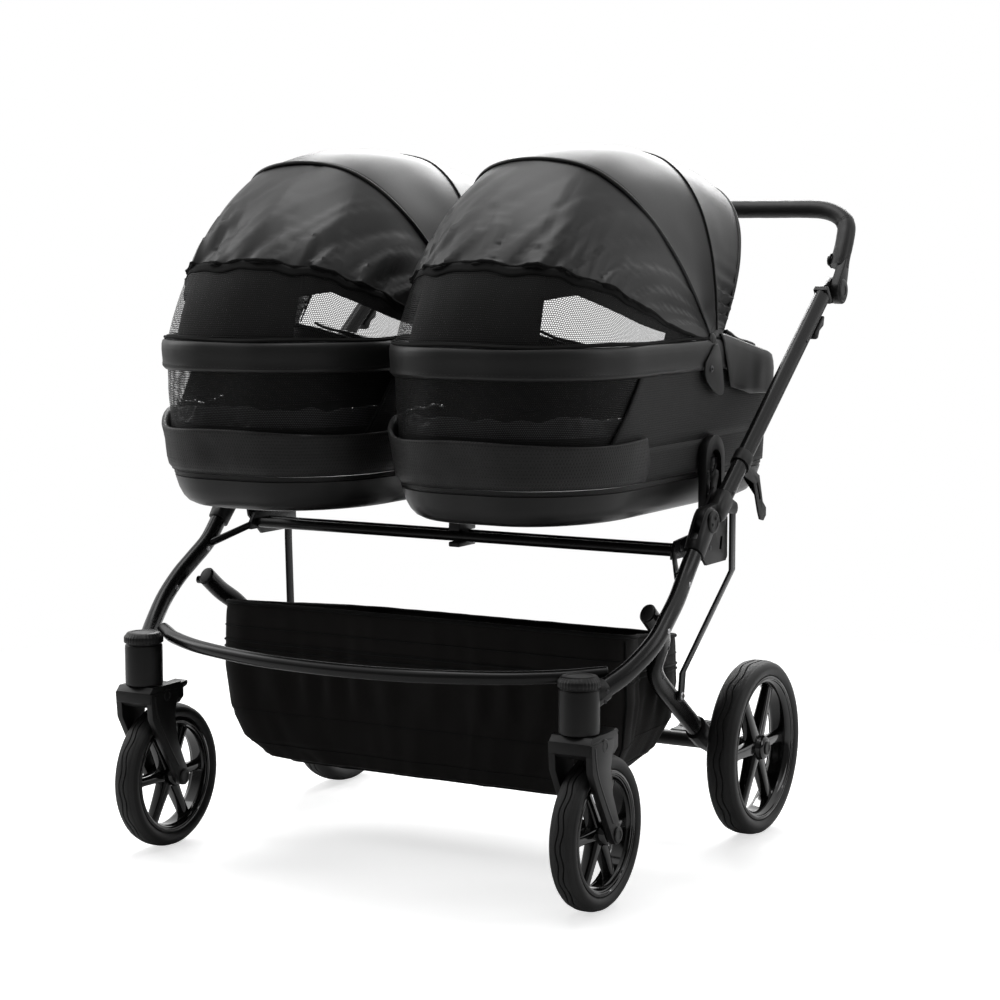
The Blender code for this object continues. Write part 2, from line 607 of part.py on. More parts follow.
# Carrycots

def cot_outline(half, head, foot, count=7):
    """A plan outline with a nearly elliptical head end and a rounder foot end, centred on x = 0."""
    head_rx, head_ry, foot_r = half - 0.036, 0.170, 0.085
    corners = [(half - foot_r, foot - foot_r, foot_r, foot_r, 90, 0),
               (half - head_rx, head + head_ry, head_rx, head_ry, 0, -90),
               (-half + head_rx, head + head_ry, head_rx, head_ry, -90, -180),
               (-half + foot_r, foot - foot_r, foot_r, foot_r, 180, 90)]
    points = []
    for cx, cy, rx, ry, first, last in corners:
        for i in range(count):
            a = radians(first + (last - first) * i / (count - 1))
            points.append((cx + rx * cos(a), cy + ry * sin(a)))
    return points


def rim_height(y):
    """The rim is level at the head end and falls towards the foot end."""
    fall = min(max((y - 0.03) / (FOOT_Y - 0.03), 0), 1)
    return RIM_Z - (RIM_Z - FOOT_RIM_Z) * fall


def cot_ring(half, head, foot, height, x):
    """One ring of a cot's shell; height is a number, or a function of y."""
    return [(x + px, py, height(py) if callable(height) else height) for px, py in cot_outline(half, head, foot)]


def cot_tub(x):
    rings = [cot_ring(half, head, foot, z, x) for half, head, foot, z in (
        (0.145, -0.390, 0.225, BASE_Z), (0.161, -0.410, 0.246, BASE_Z + 0.006),
        (0.171, -0.422, 0.258, BASE_Z + 0.022), (0.178, -0.431, 0.266, WALL_Z - GAP),
        (0.171, -0.424, 0.259, WALL_Z - GAP), (0.157, -0.409, 0.244, BASE_Z + 0.008))]
    return loft(rings)


def cot_wall(x):
    rings = [cot_ring(WALL_HALF - 0.0045, HEAD_Y + 0.004, FOOT_Y - 0.004, WALL_Z, x),
             cot_ring(WALL_HALF - 0.0025, HEAD_Y + 0.001, FOOT_Y - 0.002, 0.660, x),
             cot_ring(WALL_HALF, HEAD_Y, FOOT_Y, 0.705, x),
             cot_ring(WALL_HALF + 0.0045, HEAD_Y - 0.005, FOOT_Y + 0.002, lambda y: rim_height(y) - 0.052, x),
             cot_ring(WALL_HALF + 0.0045, HEAD_Y - 0.005, FOOT_Y + 0.002, lambda y: rim_height(y) - 0.004, x),
             cot_ring(WALL_HALF + 0.0015, HEAD_Y - 0.002, FOOT_Y, rim_height, x),
             cot_ring(WALL_HALF - 0.0090, HEAD_Y + 0.009, FOOT_Y - 0.009, rim_height, x),
             cot_ring(WALL_HALF - 0.0090, HEAD_Y + 0.009, FOOT_Y - 0.009, WALL_Z, x)]
    return loft(rings, closed=True)


def cot_mattress(x):
    rings = [cot_ring(half, head, foot, z, x) for half, head, foot, z in (
        (0.153, -0.403, 0.238, BASE_Z + 0.0085), (0.156, -0.408, 0.242, 0.5800), (0.148, -0.400, 0.234, 0.5900))]
    return loft(rings)


def cot_apron(x):
    """The cover over the foot half: a domed lid on the rim with a short skirt over the rim's foot end."""
    outer = [p for p in cot_outline(WALL_HALF + 0.0005, HEAD_Y, FOOT_Y) if p[1] > 0.03]
    half = len(outer) // 2
    right, left = outer[:half], outer[half:]
    loop = [(right[-1][0], 0.030)] + right[::-1] + left[::-1] + [(left[0][0], 0.030)]
    middle = (0.0, 0.150)

    def level(inset, rise):
        return [(x + px + (middle[0] - px) * inset, py + (middle[1] - py) * inset, rim_height(py) + rise)
                for px, py in loop]

    return loft([level(0.0, GAP), level(0.0, 0.005), level(0.10, 0.012), level(0.45, 0.018),
                 level(0.80, 0.021)])


ARCH_ANGLES = (3, 6.5, 13, 24, 39, 56, 73, 90, 107, 124, 141, 156, 167, 173.5, 177)


def bow_arch(bow, x, shrink=0.0):
    """The arch of a hood bow, from the right side over the top to the left."""
    angle, reach, power = bow
    points = []
    for a in [radians(degrees) for degrees in ARCH_ANGLES]:
        across = (HOOD_HALF - shrink) * copysign(abs(cos(a)) ** (2 / power), cos(a))
        out = (reach - shrink) * sin(a) ** (2 / power)
        points.append(Vector((x + across, PIVOT_YZ[0] + out * cos(radians(angle)),
                              PIVOT_YZ[1] + out * sin(radians(angle)))))
    return points


def rim_arch(x, shrink=0.0):
    """The line along which the hood's rear panel meets the rim, around the head end."""
    half, head = HOOD_HALF - shrink, HEAD_Y + 0.002 + shrink
    radius_x, radius_y = half - 0.036, 0.170
    side = [(half, -0.028), (half, -0.070), (half, -0.150)]
    side += [(half - radius_x + radius_x * cos(a), head + radius_y - radius_y * sin(a))
             for a in [radians(22.5 * i) for i in range(1, 4)]]
    side.insert(3, (half, head + radius_y))
    loop = side + [(0.0, head)] + [(-px, py) for px, py in side[::-1]]
    return [Vector((x + px, py, RIM_Z + GAP)) for px, py in loop]


def between(first, last, share):
    """A curve part of the way from one arch to the next, turning about the hood's pivot."""
    curve = []
    for p, q in zip(first, last):
        angle_p = atan2(p.z - PIVOT_YZ[1], p.y - PIVOT_YZ[0])
        angle_q = atan2(q.z - PIVOT_YZ[1], q.y - PIVOT_YZ[0])
        reach = (hypot(p.z - PIVOT_YZ[1], p.y - PIVOT_YZ[0]) * (1 - share)
                 + hypot(q.z - PIVOT_YZ[1], q.y - PIVOT_YZ[0]) * share)
        angle = angle_p * (1 - share) + angle_q * share
        curve.append(Vector((p.x * (1 - share) + q.x * share, PIVOT_YZ[0] + reach * cos(angle),
                             PIVOT_YZ[1] + reach * sin(angle))))
    return curve


def hood_panel(outer_first, outer_last, inner_first, inner_last, rows=3):
    """A curved panel of even thickness between two arches."""
    rings = []
    for i in range(rows + 1):
        share = i / rows
        outside = between(outer_first, outer_last, share)
        inside = between(inner_first, inner_last, share)
        rings.append(outside + inside[::-1])
    return loft(rings)


def turned(bow, degrees):
    """The same bow, turned a little about the hood's pivot."""
    return bow[0] + degrees, bow[1], bow[2]


def cot_latch(x_side):
    """The arch on the cot's outer side that drops over the bracket's lug."""
    middle = -0.016
    outer = [(middle + 0.034, 0.536)] + [(middle + 0.034 * cos(a), 0.621 + 0.034 * sin(a))
                                         for a in [radians(30 * i) for i in range(7)]] + [(middle - 0.034, 0.536)]
    inner = [(middle - 0.0215, 0.536)] + [(middle - 0.0215 * cos(a), 0.613 + 0.0215 * sin(a))
                                          for a in [radians(45 * i) for i in range(5)]] + [(middle + 0.0215, 0.536)]
    shape = prism(outer + inner, 0.3896, 0.4035)
    return shape if x_side > 0 else mirrored(shape)


def carrycots():
    thickness = 0.004
    for side, name in ((1, "right"), (-1, "left")):
        x = side * COT_X
        pivot = (x, *PIVOT_YZ)
        place("cot_tub_" + name, cot_tub(x), BLACK_PLASTIC)
        place("cot_wall_" + name, cot_wall(x), LEATHER)
        place("cot_mattress_" + name, cot_mattress(x), WOVEN)
        place("cot_apron_" + name, cot_apron(x), LEATHER)
        place("cot_latch_" + name, cot_latch(side), BLACK_PLASTIC)
        arches = {}
        for key, bow in (("rear", REAR_BOW), ("middle", MIDDLE_BOW), ("front", FRONT_BOW)):
            for end, turn in (("back", 0.35), ("front", -0.35)):
                arches[key, end] = (bow_arch(turned(bow, turn), x), bow_arch(turned(bow, turn), x, shrink=thickness))
        rim_pair = (rim_arch(x), rim_arch(x, shrink=thickness))
        place("hood_rear_panel_" + name,
              hood_panel(rim_pair[0], arches["rear", "back"][0], rim_pair[1], arches["rear", "back"][1], 4),
              LEATHER, pivot)
        place("hood_middle_panel_" + name,
              hood_panel(arches["rear", "front"][0], arches["middle", "back"][0],
                         arches["rear", "front"][1], arches["middle", "back"][1]), LEATHER, pivot)
        place("hood_front_panel_" + name,
              hood_panel(arches["middle", "front"][0], arches["front", "back"][0],
                         arches["middle", "front"][1], arches["front", "back"][1]), LEATHER, pivot)


def build():
    for item in list(bpy.data.objects):
        bpy.data.objects.remove(item)
    front_legs()
    fold_forks()
    front_crossbar()
    cross_tubes()
    cot_brackets()
    centre_support()
    caster_housings()
    forks()
    swivel_levers()
    wheels()
    fold_knuckles()
    upper_tubes()
    fold_triggers()
    transport_strap()
    handle_joints()
    handlebar()
    handle_buttons()
    rear_legs()
    rear_axle()
    fold_struts()
    brake_pedal()
    basket()
    carrycots()


build()
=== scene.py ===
from math import atan2, copysign, cos, exp, hypot, pi, radians, sin

import bmesh
import bpy
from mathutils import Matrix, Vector, noise


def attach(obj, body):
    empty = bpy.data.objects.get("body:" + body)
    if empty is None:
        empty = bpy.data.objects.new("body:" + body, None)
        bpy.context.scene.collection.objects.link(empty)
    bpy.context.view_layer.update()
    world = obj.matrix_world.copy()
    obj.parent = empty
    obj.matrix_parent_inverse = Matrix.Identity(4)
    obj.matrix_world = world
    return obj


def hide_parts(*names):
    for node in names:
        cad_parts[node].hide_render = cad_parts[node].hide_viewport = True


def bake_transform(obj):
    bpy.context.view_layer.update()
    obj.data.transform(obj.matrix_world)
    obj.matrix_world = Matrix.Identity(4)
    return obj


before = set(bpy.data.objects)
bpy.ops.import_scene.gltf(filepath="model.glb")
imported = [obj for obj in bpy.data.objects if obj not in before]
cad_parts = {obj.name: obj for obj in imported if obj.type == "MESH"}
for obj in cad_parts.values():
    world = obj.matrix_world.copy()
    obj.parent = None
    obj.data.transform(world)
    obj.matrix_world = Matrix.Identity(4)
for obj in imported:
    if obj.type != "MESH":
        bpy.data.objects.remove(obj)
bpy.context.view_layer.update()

X = Vector((1, 0, 0))
Z = Vector((0, 0, 1))


# Camera, at the photograph's viewing angle

CAMERA_PLACE = (1.9181, -3.3542, 0.9556)
CAMERA_TILT = (radians(83.752), 0, radians(29.534))
CAMERA_LENS = 86.98
BACKDROP_WAY = (-0.36, 0.62, 0.70)


def make_camera():
    data = bpy.data.cameras.new("camera")
    data.lens = CAMERA_LENS
    data.clip_end = 60
    camera = bpy.data.objects.new("camera", data)
    camera.location = CAMERA_PLACE
    camera.rotation_euler = CAMERA_TILT
    bpy.context.scene.collection.objects.link(camera)
    bpy.context.scene.camera = camera


# Small tools for shader nodes

def node(tree, kind, inputs=None, **settings):
    """Add a node. An input is a plain value, or another node's output socket."""
    made = tree.nodes.new(kind)
    for key, value in settings.items():
        setattr(made, key, value)
    for key, value in (inputs or {}).items():
        if isinstance(value, bpy.types.NodeSocket):
            tree.links.new(value, made.inputs[key])
        else:
            made.inputs[key].default_value = value
    return made


def maths(tree, operation, a, b=0.0, clamp=False):
    return node(tree, "ShaderNodeMath", {0: a, 1: b}, operation=operation, use_clamp=clamp).outputs[0]


def new_group(name, inputs, outputs):
    """A shader node group with named sockets. Returns the tree and its input and output nodes."""
    tree = bpy.data.node_groups.new(name, "ShaderNodeTree")
    for label, kind, default in inputs:
        socket = tree.interface.new_socket(label, in_out="INPUT", socket_type="NodeSocket" + kind)
        if default is not None:
            socket.default_value = default
    for label, kind in outputs:
        tree.interface.new_socket(label, in_out="OUTPUT", socket_type="NodeSocket" + kind)
    return tree, tree.nodes.new("NodeGroupInput"), tree.nodes.new("NodeGroupOutput")


def use_group(tree, group, inputs):
    made = tree.nodes.new("ShaderNodeGroup")
    made.node_tree = group
    for key, value in inputs.items():
        if isinstance(value, bpy.types.NodeSocket):
            tree.links.new(value, made.inputs[key])
        else:
            made.inputs[key].default_value = value
    return made


def grain_group():
    """Skin-like grain: small rounded cells over slow unevenness, as a height and a mask."""
    tree, given, out = new_group("leather grain", [("Place", "Vector", None), ("Cells per metre", "Float", 900.0),
                                                   ("Unevenness", "Float", 0.5)],
                                 [("Height", "Float"), ("Mask", "Float")])
    cells = node(tree, "ShaderNodeTexVoronoi", {"Vector": given.outputs["Place"],
                                                "Scale": given.outputs["Cells per metre"]})
    slow = node(tree, "ShaderNodeTexNoise", {"Vector": given.outputs["Place"], "Scale": 38.0, "Detail": 3.0})
    lift = maths(tree, "MULTIPLY", slow.outputs[0], given.outputs["Unevenness"])
    height = maths(tree, "ADD", maths(tree, "MULTIPLY", cells.outputs["Distance"], 0.5), lift)
    tree.links.new(height, out.inputs["Height"])
    tree.links.new(slow.outputs[0], out.inputs["Mask"])
    return tree


def dots_group():
    """Rows of small round dots, every second row half a step along, on metric UVs."""
    tree, given, out = new_group("dot rows", [("Place", "Vector", None), ("Step", "Float", 0.003),
                                              ("Radius", "Float", 0.3)], [("Dot", "Float")])
    split = node(tree, "ShaderNodeSeparateXYZ", {0: given.outputs["Place"]})
    u = maths(tree, "DIVIDE", split.outputs[0], given.outputs["Step"])
    v = maths(tree, "DIVIDE", split.outputs[1], given.outputs["Step"])
    row = maths(tree, "FLOOR", v)
    odd = maths(tree, "MULTIPLY", maths(tree, "MODULO", maths(tree, "ADD", row, 4000.0), 2.0), 0.5)
    cell_u = maths(tree, "SUBTRACT", maths(tree, "FRACT", maths(tree, "ADD", u, odd)), 0.5)
    cell_v = maths(tree, "SUBTRACT", maths(tree, "FRACT", v), 0.5)
    far = maths(tree, "SQRT", maths(tree, "ADD", maths(tree, "MULTIPLY", cell_u, cell_u),
                                    maths(tree, "MULTIPLY", cell_v, cell_v)))
    edge = maths(tree, "SUBTRACT", given.outputs["Radius"], far)
    dot = maths(tree, "ADD", maths(tree, "MULTIPLY", edge, 12.0), 0.5, clamp=True)
    tree.links.new(dot, out.inputs["Dot"])
    return tree


def weave_group():
    """Plain weave: warp and weft bulge in turn, on metric UVs or object coordinates."""
    tree, given, out = new_group("plain weave", [("Place", "Vector", None), ("Step", "Float", 0.0012)],
                                 [("Height", "Float")])
    split = node(tree, "ShaderNodeSeparateXYZ", {0: given.outputs["Place"]})
    waves = []
    for k in (0, 1):
        turns = maths(tree, "DIVIDE", maths(tree, "MULTIPLY", split.outputs[k], pi), given.outputs["Step"])
        waves.append(maths(tree, "SINE", turns))
    product = maths(tree, "MULTIPLY", waves[0], waves[1])
    height = maths(tree, "ADD", maths(tree, "MULTIPLY", product, 0.5), 0.5)
    tree.links.new(height, out.inputs["Height"])
    return tree


def wear_group():
    """Handling marks: a soft blotch mask and fine scratches, for colour and roughness."""
    tree, given, out = new_group("handling wear", [("Place", "Vector", None), ("Base", "Float", 0.4),
                                                   ("Spread", "Float", 0.08)],
                                 [("Roughness", "Float"), ("Mask", "Float")])
    blotch = node(tree, "ShaderNodeTexNoise", {"Vector": given.outputs["Place"], "Scale": 22.0, "Detail": 4.0})
    fine = node(tree, "ShaderNodeTexNoise", {"Vector": given.outputs["Place"], "Scale": 420.0, "Detail": 2.0})
    both = maths(tree, "ADD", maths(tree, "MULTIPLY", blotch.outputs[0], 0.7),
                 maths(tree, "MULTIPLY", fine.outputs[0], 0.3))
    centred = maths(tree, "MULTIPLY", maths(tree, "SUBTRACT", both, 0.5), given.outputs["Spread"])
    tree.links.new(maths(tree, "ADD", centred, given.outputs["Base"]), out.inputs["Roughness"])
    tree.links.new(both, out.inputs["Mask"])
    return tree


GRAIN, DOTS, WEAVE, WEAR = grain_group(), dots_group(), weave_group(), wear_group()


def new_material(name, slot):
    made = bpy.data.materials.new(name)
    made.use_nodes = True
    made["slot"] = slot
    tree = made.node_tree
    return made, tree, tree.nodes["Principled BSDF"]


def two_tone(tree, mask, dark, light):
    """Base colour between two shades by a mask."""
    mix = node(tree, "ShaderNodeMix", {0: mask}, data_type="RGBA")
    mix.inputs[6].default_value = (*dark, 1)
    mix.inputs[7].default_value = (*light, 1)
    return mix.outputs[2]


def bump(tree, height, distance, strength=1.0, under=None):
    inputs = {"Height": height, "Distance": distance, "Strength": strength}
    if under is not None:
        inputs["Normal"] = under
    return node(tree, "ShaderNodeBump", inputs).outputs[0]


def leather(name, slot, shade, roughness, punched=False, grain_depth=0.00012):
    """Matt leatherette with fine grain. Punched leatherette also has rows of small holes, whose near-black
    insides are painted shade.
    """
    made, tree, skin = new_material(name, slot)
    coordinates = node(tree, "ShaderNodeTexCoord")
    grain = use_group(tree, GRAIN, {"Place": coordinates.outputs["Object"]})
    wear = use_group(tree, WEAR, {"Place": coordinates.outputs["Object"], "Base": roughness, "Spread": 0.10})
    colour = two_tone(tree, grain.outputs["Mask"], [c * 0.82 for c in shade], [c * 1.18 for c in shade])
    normal = bump(tree, grain.outputs["Height"], grain_depth, 0.55)
    if punched:
        dots = use_group(tree, DOTS, {"Place": coordinates.outputs["UV"], "Step": 0.0050, "Radius": 0.30})
        # Punched holes: painted shade, near black, inside each hole, with a bump that presses them in
        deep = node(tree, "ShaderNodeMix", {0: dots.outputs["Dot"]}, data_type="RGBA")
        tree.links.new(colour, deep.inputs[6])
        deep.inputs[7].default_value = (0.0008, 0.0008, 0.0008, 1)
        colour = deep.outputs[2]
        normal = bump(tree, maths(tree, "SUBTRACT", 1.0, dots.outputs["Dot"]), 0.0006, 0.8, normal)
    tree.links.new(colour, skin.inputs["Base Color"])
    tree.links.new(wear.outputs["Roughness"], skin.inputs["Roughness"])
    tree.links.new(normal, skin.inputs["Normal"])
    skin.inputs["Specular IOR Level"].default_value = 0.42
    return made


def dotted_fabric(name, slot):
    """Technical side fabric with a fine raised dot texture."""
    made, tree, skin = new_material(name, slot)
    coordinates = node(tree, "ShaderNodeTexCoord")
    dots = use_group(tree, DOTS, {"Place": coordinates.outputs["UV"], "Step": 0.0034, "Radius": 0.34})
    wear = use_group(tree, WEAR, {"Place": coordinates.outputs["Object"], "Base": 0.62, "Spread": 0.08})
    colour = two_tone(tree, dots.outputs["Dot"], (0.0050, 0.0050, 0.0050), (0.0195, 0.0191, 0.0192))
    tree.links.new(colour, skin.inputs["Base Color"])
    tree.links.new(wear.outputs["Roughness"], skin.inputs["Roughness"])
    tree.links.new(bump(tree, dots.outputs["Dot"], 0.0005, 0.7), skin.inputs["Normal"])
    skin.inputs["Specular IOR Level"].default_value = 0.35
    return made


def woven(name, slot, shade, step, roughness=0.86):
    """Woven cloth with a thread-level weave, painted shade in its hollows, and a soft sheen."""
    made, tree, skin = new_material(name, slot)
    coordinates = node(tree, "ShaderNodeTexCoord")
    weave = use_group(tree, WEAVE, {"Place": coordinates.outputs["UV"], "Step": step})
    wear = use_group(tree, WEAR, {"Place": coordinates.outputs["Object"], "Base": roughness, "Spread": 0.1})
    # The colour is darker where the weave is low: painted shade in the hollows between threads, mixed with the
    # wear mask's uneven tone
    both = maths(tree, "MULTIPLY", weave.outputs["Height"], wear.outputs["Mask"])
    colour = two_tone(tree, both, [c * 0.55 for c in shade], [c * 1.7 for c in shade])
    tree.links.new(colour, skin.inputs["Base Color"])
    tree.links.new(wear.outputs["Roughness"], skin.inputs["Roughness"])
    tree.links.new(bump(tree, weave.outputs["Height"], 0.0003, 0.6), skin.inputs["Normal"])
    skin.inputs["Specular IOR Level"].default_value = 0.22
    skin.inputs["Sheen Weight"].default_value = 0.01
    skin.inputs["Sheen Roughness"].default_value = 0.6
    return made


def net(name, slot, step, hole):
    """Black net: small round holes in rows, really open."""
    made, tree, skin = new_material(name, slot)
    coordinates = node(tree, "ShaderNodeTexCoord")
    dots = use_group(tree, DOTS, {"Place": coordinates.outputs["UV"], "Step": step, "Radius": hole})
    wear = use_group(tree, WEAR, {"Place": coordinates.outputs["Object"], "Base": 0.55, "Spread": 0.1})
    colour = two_tone(tree, wear.outputs["Mask"], (0.006, 0.006, 0.006), (0.012, 0.012, 0.012))
    tree.links.new(colour, skin.inputs["Base Color"])
    tree.links.new(wear.outputs["Roughness"], skin.inputs["Roughness"])
    tree.links.new(maths(tree, "SUBTRACT", 1.0, dots.outputs["Dot"]), skin.inputs["Alpha"])
    skin.inputs["Specular IOR Level"].default_value = 0.25
    return made


def hard(name, slot, shade, roughness, metallic=0.0, texture=0.00005, cells=1400.0, spread=0.08, coat=0.0):
    """Paint, plastic, rubber or metal: a fine surface texture, uneven gloss and two close shades."""
    made, tree, skin = new_material(name, slot)
    coordinates = node(tree, "ShaderNodeTexCoord")
    wear = use_group(tree, WEAR, {"Place": coordinates.outputs["Object"], "Base": roughness, "Spread": spread})
    grain = use_group(tree, GRAIN, {"Place": coordinates.outputs["Object"], "Cells per metre": cells,
                                    "Unevenness": 0.15})
    colour = two_tone(tree, wear.outputs["Mask"], [c * 0.8 for c in shade], [c * 1.25 for c in shade])
    tree.links.new(colour, skin.inputs["Base Color"])
    tree.links.new(wear.outputs["Roughness"], skin.inputs["Roughness"])
    tree.links.new(bump(tree, grain.outputs["Height"], texture, 0.5), skin.inputs["Normal"])
    skin.inputs["Metallic"].default_value = metallic
    skin.inputs["Specular IOR Level"].default_value = 0.5 if metallic > 0.5 or coat else 0.34
    skin.inputs["Coat Weight"].default_value = coat
    skin.inputs["Coat Roughness"].default_value = 0.12
    return made


def knurled(name, slot, shade):
    """Rubber tread with a fine raised stipple."""
    made, tree, skin = new_material(name, slot)
    coordinates = node(tree, "ShaderNodeTexCoord")
    dots = use_group(tree, DOTS, {"Place": coordinates.outputs["UV"], "Step": 0.0022, "Radius": 0.33})
    wear = use_group(tree, WEAR, {"Place": coordinates.outputs["Object"], "Base": 0.62, "Spread": 0.12})
    colour = two_tone(tree, wear.outputs["Mask"], [c * 0.75 for c in shade], [c * 1.3 for c in shade])
    tree.links.new(colour, skin.inputs["Base Color"])
    tree.links.new(wear.outputs["Roughness"], skin.inputs["Roughness"])
    tree.links.new(bump(tree, dots.outputs["Dot"], 0.0004, 0.7), skin.inputs["Normal"])
    return made


HOOD_LEATHER = leather("hood leatherette", "leatherette", (0.0122, 0.0121, 0.0122), 0.43)
BAND_LEATHER = leather("band leatherette", "leatherette", (0.0105, 0.0104, 0.0104), 0.46)
FLAP_LEATHER = leather("punched leatherette", "leatherette", (0.0090, 0.0087, 0.0086), 0.50, punched=True)
GRIP_LEATHER = leather("grip leatherette", "handle_cover", (0.011, 0.0108, 0.0108), 0.46, grain_depth=0.0002)
SIDE_FABRIC = dotted_fabric("dotted side fabric", "side_fabric")
BASKET_CLOTH = woven("basket cloth", "basket_fabric", (0.0076, 0.0066, 0.0061), 0.0011)
LINING_CLOTH = woven("lining cloth", "mattress_cover", (0.008, 0.008, 0.008), 0.0012)
MATTRESS_KNIT = woven("mattress knit", "mattress_cover", (0.050, 0.050, 0.052), 0.0016)
TAPE_CLOTH = woven("binding tape", "webbing", (0.0035, 0.0035, 0.0035), 0.0010)
HOOD_NET = net("hood net", "mesh_net", 0.0034, 0.40)
WALL_NET = net("wall net", "mesh_net", 0.0026, 0.34)
PAINT = hard("satin frame paint", "frame_paint", (0.0072, 0.0071, 0.0072), 0.25, metallic=0.1, texture=0.00002)
STRUT_PAINT = hard("strut paint", "strut_steel", (0.012, 0.012, 0.013), 0.28, metallic=0.3, texture=0.00002)
PLASTIC = hard("moulded plastic", "moulded_plastic", (0.0056, 0.0054, 0.0055), 0.40, texture=0.00006)
BASE_PLASTIC = hard("satin base plastic", "base_plastic", (0.0060, 0.0058, 0.0058), 0.36, texture=0.00004)
GLOSS = hard("gloss rim plastic", "rim_plastic", (0.004, 0.004, 0.004), 0.10, texture=0.000004, spread=0.03,
             coat=0.3)
# The wrap's light grey colour makes its crinkles show bright specks: painted reflection on what is a glossy dark
# wrap
FOIL = hard("crinkled wrap", "mattress_cover", (0.11, 0.11, 0.115), 0.18, texture=0.0002, cells=500.0)
TYRE_SIDE = hard("tyre side rubber", "tyre_rubber", (0.0060, 0.0059, 0.0060), 0.46, texture=0.00005)
TYRE_TREAD = knurled("tyre tread rubber", "tyre_rubber", (0.0062, 0.0061, 0.0061))
RUBBER = hard("strap rubber", "webbing", (0.008, 0.008, 0.008), 0.48, texture=0.00006)
STEEL = hard("bright steel", "rivet_steel", (0.45, 0.45, 0.46), 0.30, metallic=1.0, texture=0.00002)
DARK_STEEL = hard("dark screws", "strut_steel", (0.05, 0.05, 0.052), 0.34, metallic=0.8, texture=0.00002)


# Small tools for meshes

def add_piece(name, points, faces, look, body, stands_for=(), uv=None, parts=None):
    """Make a piece that rides on a body, with the record's slot of its finish."""
    mesh = bpy.data.meshes.new(name)
    mesh.from_pydata([tuple(p) for p in points], [], faces)
    looks = look if isinstance(look, (list, tuple)) else [look]
    for one in looks:
        mesh.materials.append(one)
    if parts:
        mesh.polygons.foreach_set("material_index", parts)
    if uv:
        layer = mesh.uv_layers.new(name="metres")
        for loop in mesh.loops:
            layer.data[loop.index].uv = uv[loop.vertex_index]
    mesh.shade_smooth()
    mesh.set_sharp_from_angle(angle=radians(40))
    item = bpy.data.objects.new(name, mesh)
    bpy.context.scene.collection.objects.link(item)
    if body:
        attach(item, body)
    if stands_for:
        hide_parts(*stands_for)
    return item


def grid_faces(rows, columns, closed=False, start=0):
    """Quads over a grid of points, row after row. A closed grid joins its last column to its first."""
    faces = []
    for i in range(rows - 1):
        for j in range(columns if closed else columns - 1):
            k = (j + 1) % columns
            faces.append((start + i * columns + j, start + i * columns + k,
                          start + (i + 1) * columns + k, start + (i + 1) * columns + j))
    return faces


def metric_uv(rows):
    """UVs in metres: u runs along each row from its middle, v runs from row to row."""
    middle = len(rows[0]) // 2
    v, uv = 0.0, []
    for i, row in enumerate(rows):
        if i:
            v += (row[middle] - rows[i - 1][middle]).length
        along = [0.0]
        for p, q in zip(row, row[1:]):
            along.append(along[-1] + (q - p).length)
        uv += [(a - along[middle], v) for a in along]
    return uv


def surface(name, rows, look, body, thickness=0.0, closed=False, stands_for=(), blend=None, inside=None):
    """A curved sheet through rows of points. Its front looks away from the inside point, by default its middle.

    Thickness makes it a closed shell, inwards.
    """
    rows = [list(row) + ([row[0]] if closed else []) for row in rows]
    points = [p for row in rows for p in row]
    faces = grid_faces(len(rows), len(rows[0]))
    inside = Vector(inside) if inside else sum(points, Vector()) / len(points)
    facing = 0.0
    for a, b, c, d in faces:
        facing += (points[c] - points[a]).cross(points[d] - points[b]).dot(points[a] - inside)
    if facing < 0:
        faces = [face[::-1] for face in faces]
    item = add_piece(name, points, faces, look, None if blend else body, stands_for, metric_uv(rows))
    if closed:
        weld(item)
    if thickness:
        shell = item.modifiers.new("thickness", "SOLIDIFY")
        shell.thickness = thickness
        shell.offset = -1
        apply_modifiers(item)
    if blend:
        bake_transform(item)
    return item


def weld(item, distance=0.00005):
    """Join points that lie on each other, keeping the UVs of each face."""
    work = bmesh.new()
    work.from_mesh(item.data)
    bmesh.ops.remove_doubles(work, verts=work.verts, dist=distance)
    work.to_mesh(item.data)
    work.free()


def apply_modifiers(item):
    graph = bpy.context.evaluated_depsgraph_get()
    made = bpy.data.meshes.new_from_object(item.evaluated_get(graph))
    item.modifiers.clear()
    old = item.data
    item.data = made
    bpy.data.meshes.remove(old)


def smooth(points, steps=4, closed=False):
    """More points on a smooth curve through the given ones."""
    points = [Vector(p) for p in points]
    count = len(points)
    out = []
    for i in range(count if closed else count - 1):
        if closed:
            a, b, c, d = (points[(i + k) % count] for k in (-1, 0, 1, 2))
        else:
            a, b = points[max(i - 1, 0)], points[i]
            c, d = points[i + 1], points[min(i + 2, count - 1)]
        for k in range(steps):
            t = k / steps
            out.append(0.5 * (2 * b + (c - a) * t + (2 * a - 5 * b + 4 * c - d) * t * t
                              + (3 * b - a - 3 * c + d) * t ** 3))
    if not closed:
        out.append(points[-1])
    return out


def tube_rings(path, half_reference, half_other, reference=X, sides=24, power=2.0):
    """Rings around a path. half_reference lies along the reference direction."""
    rings = []
    for i, p in enumerate(path):
        ahead = path[min(i + 1, len(path) - 1)] - path[max(i - 1, 0)]
        ahead.normalize()
        other = ahead.cross(reference).normalized()
        first = other.cross(ahead).normalized()
        a = half_reference[i] if isinstance(half_reference, list) else half_reference
        b = half_other[i] if isinstance(half_other, list) else half_other
        ring = []
        for k in range(sides):
            turn = 2 * pi * k / sides
            c = copysign(abs(cos(turn)) ** (2 / power), cos(turn))
            s = copysign(abs(sin(turn)) ** (2 / power), sin(turn))
            ring.append(p + first * a * c + other * b * s)
        rings.append(ring)
    return rings


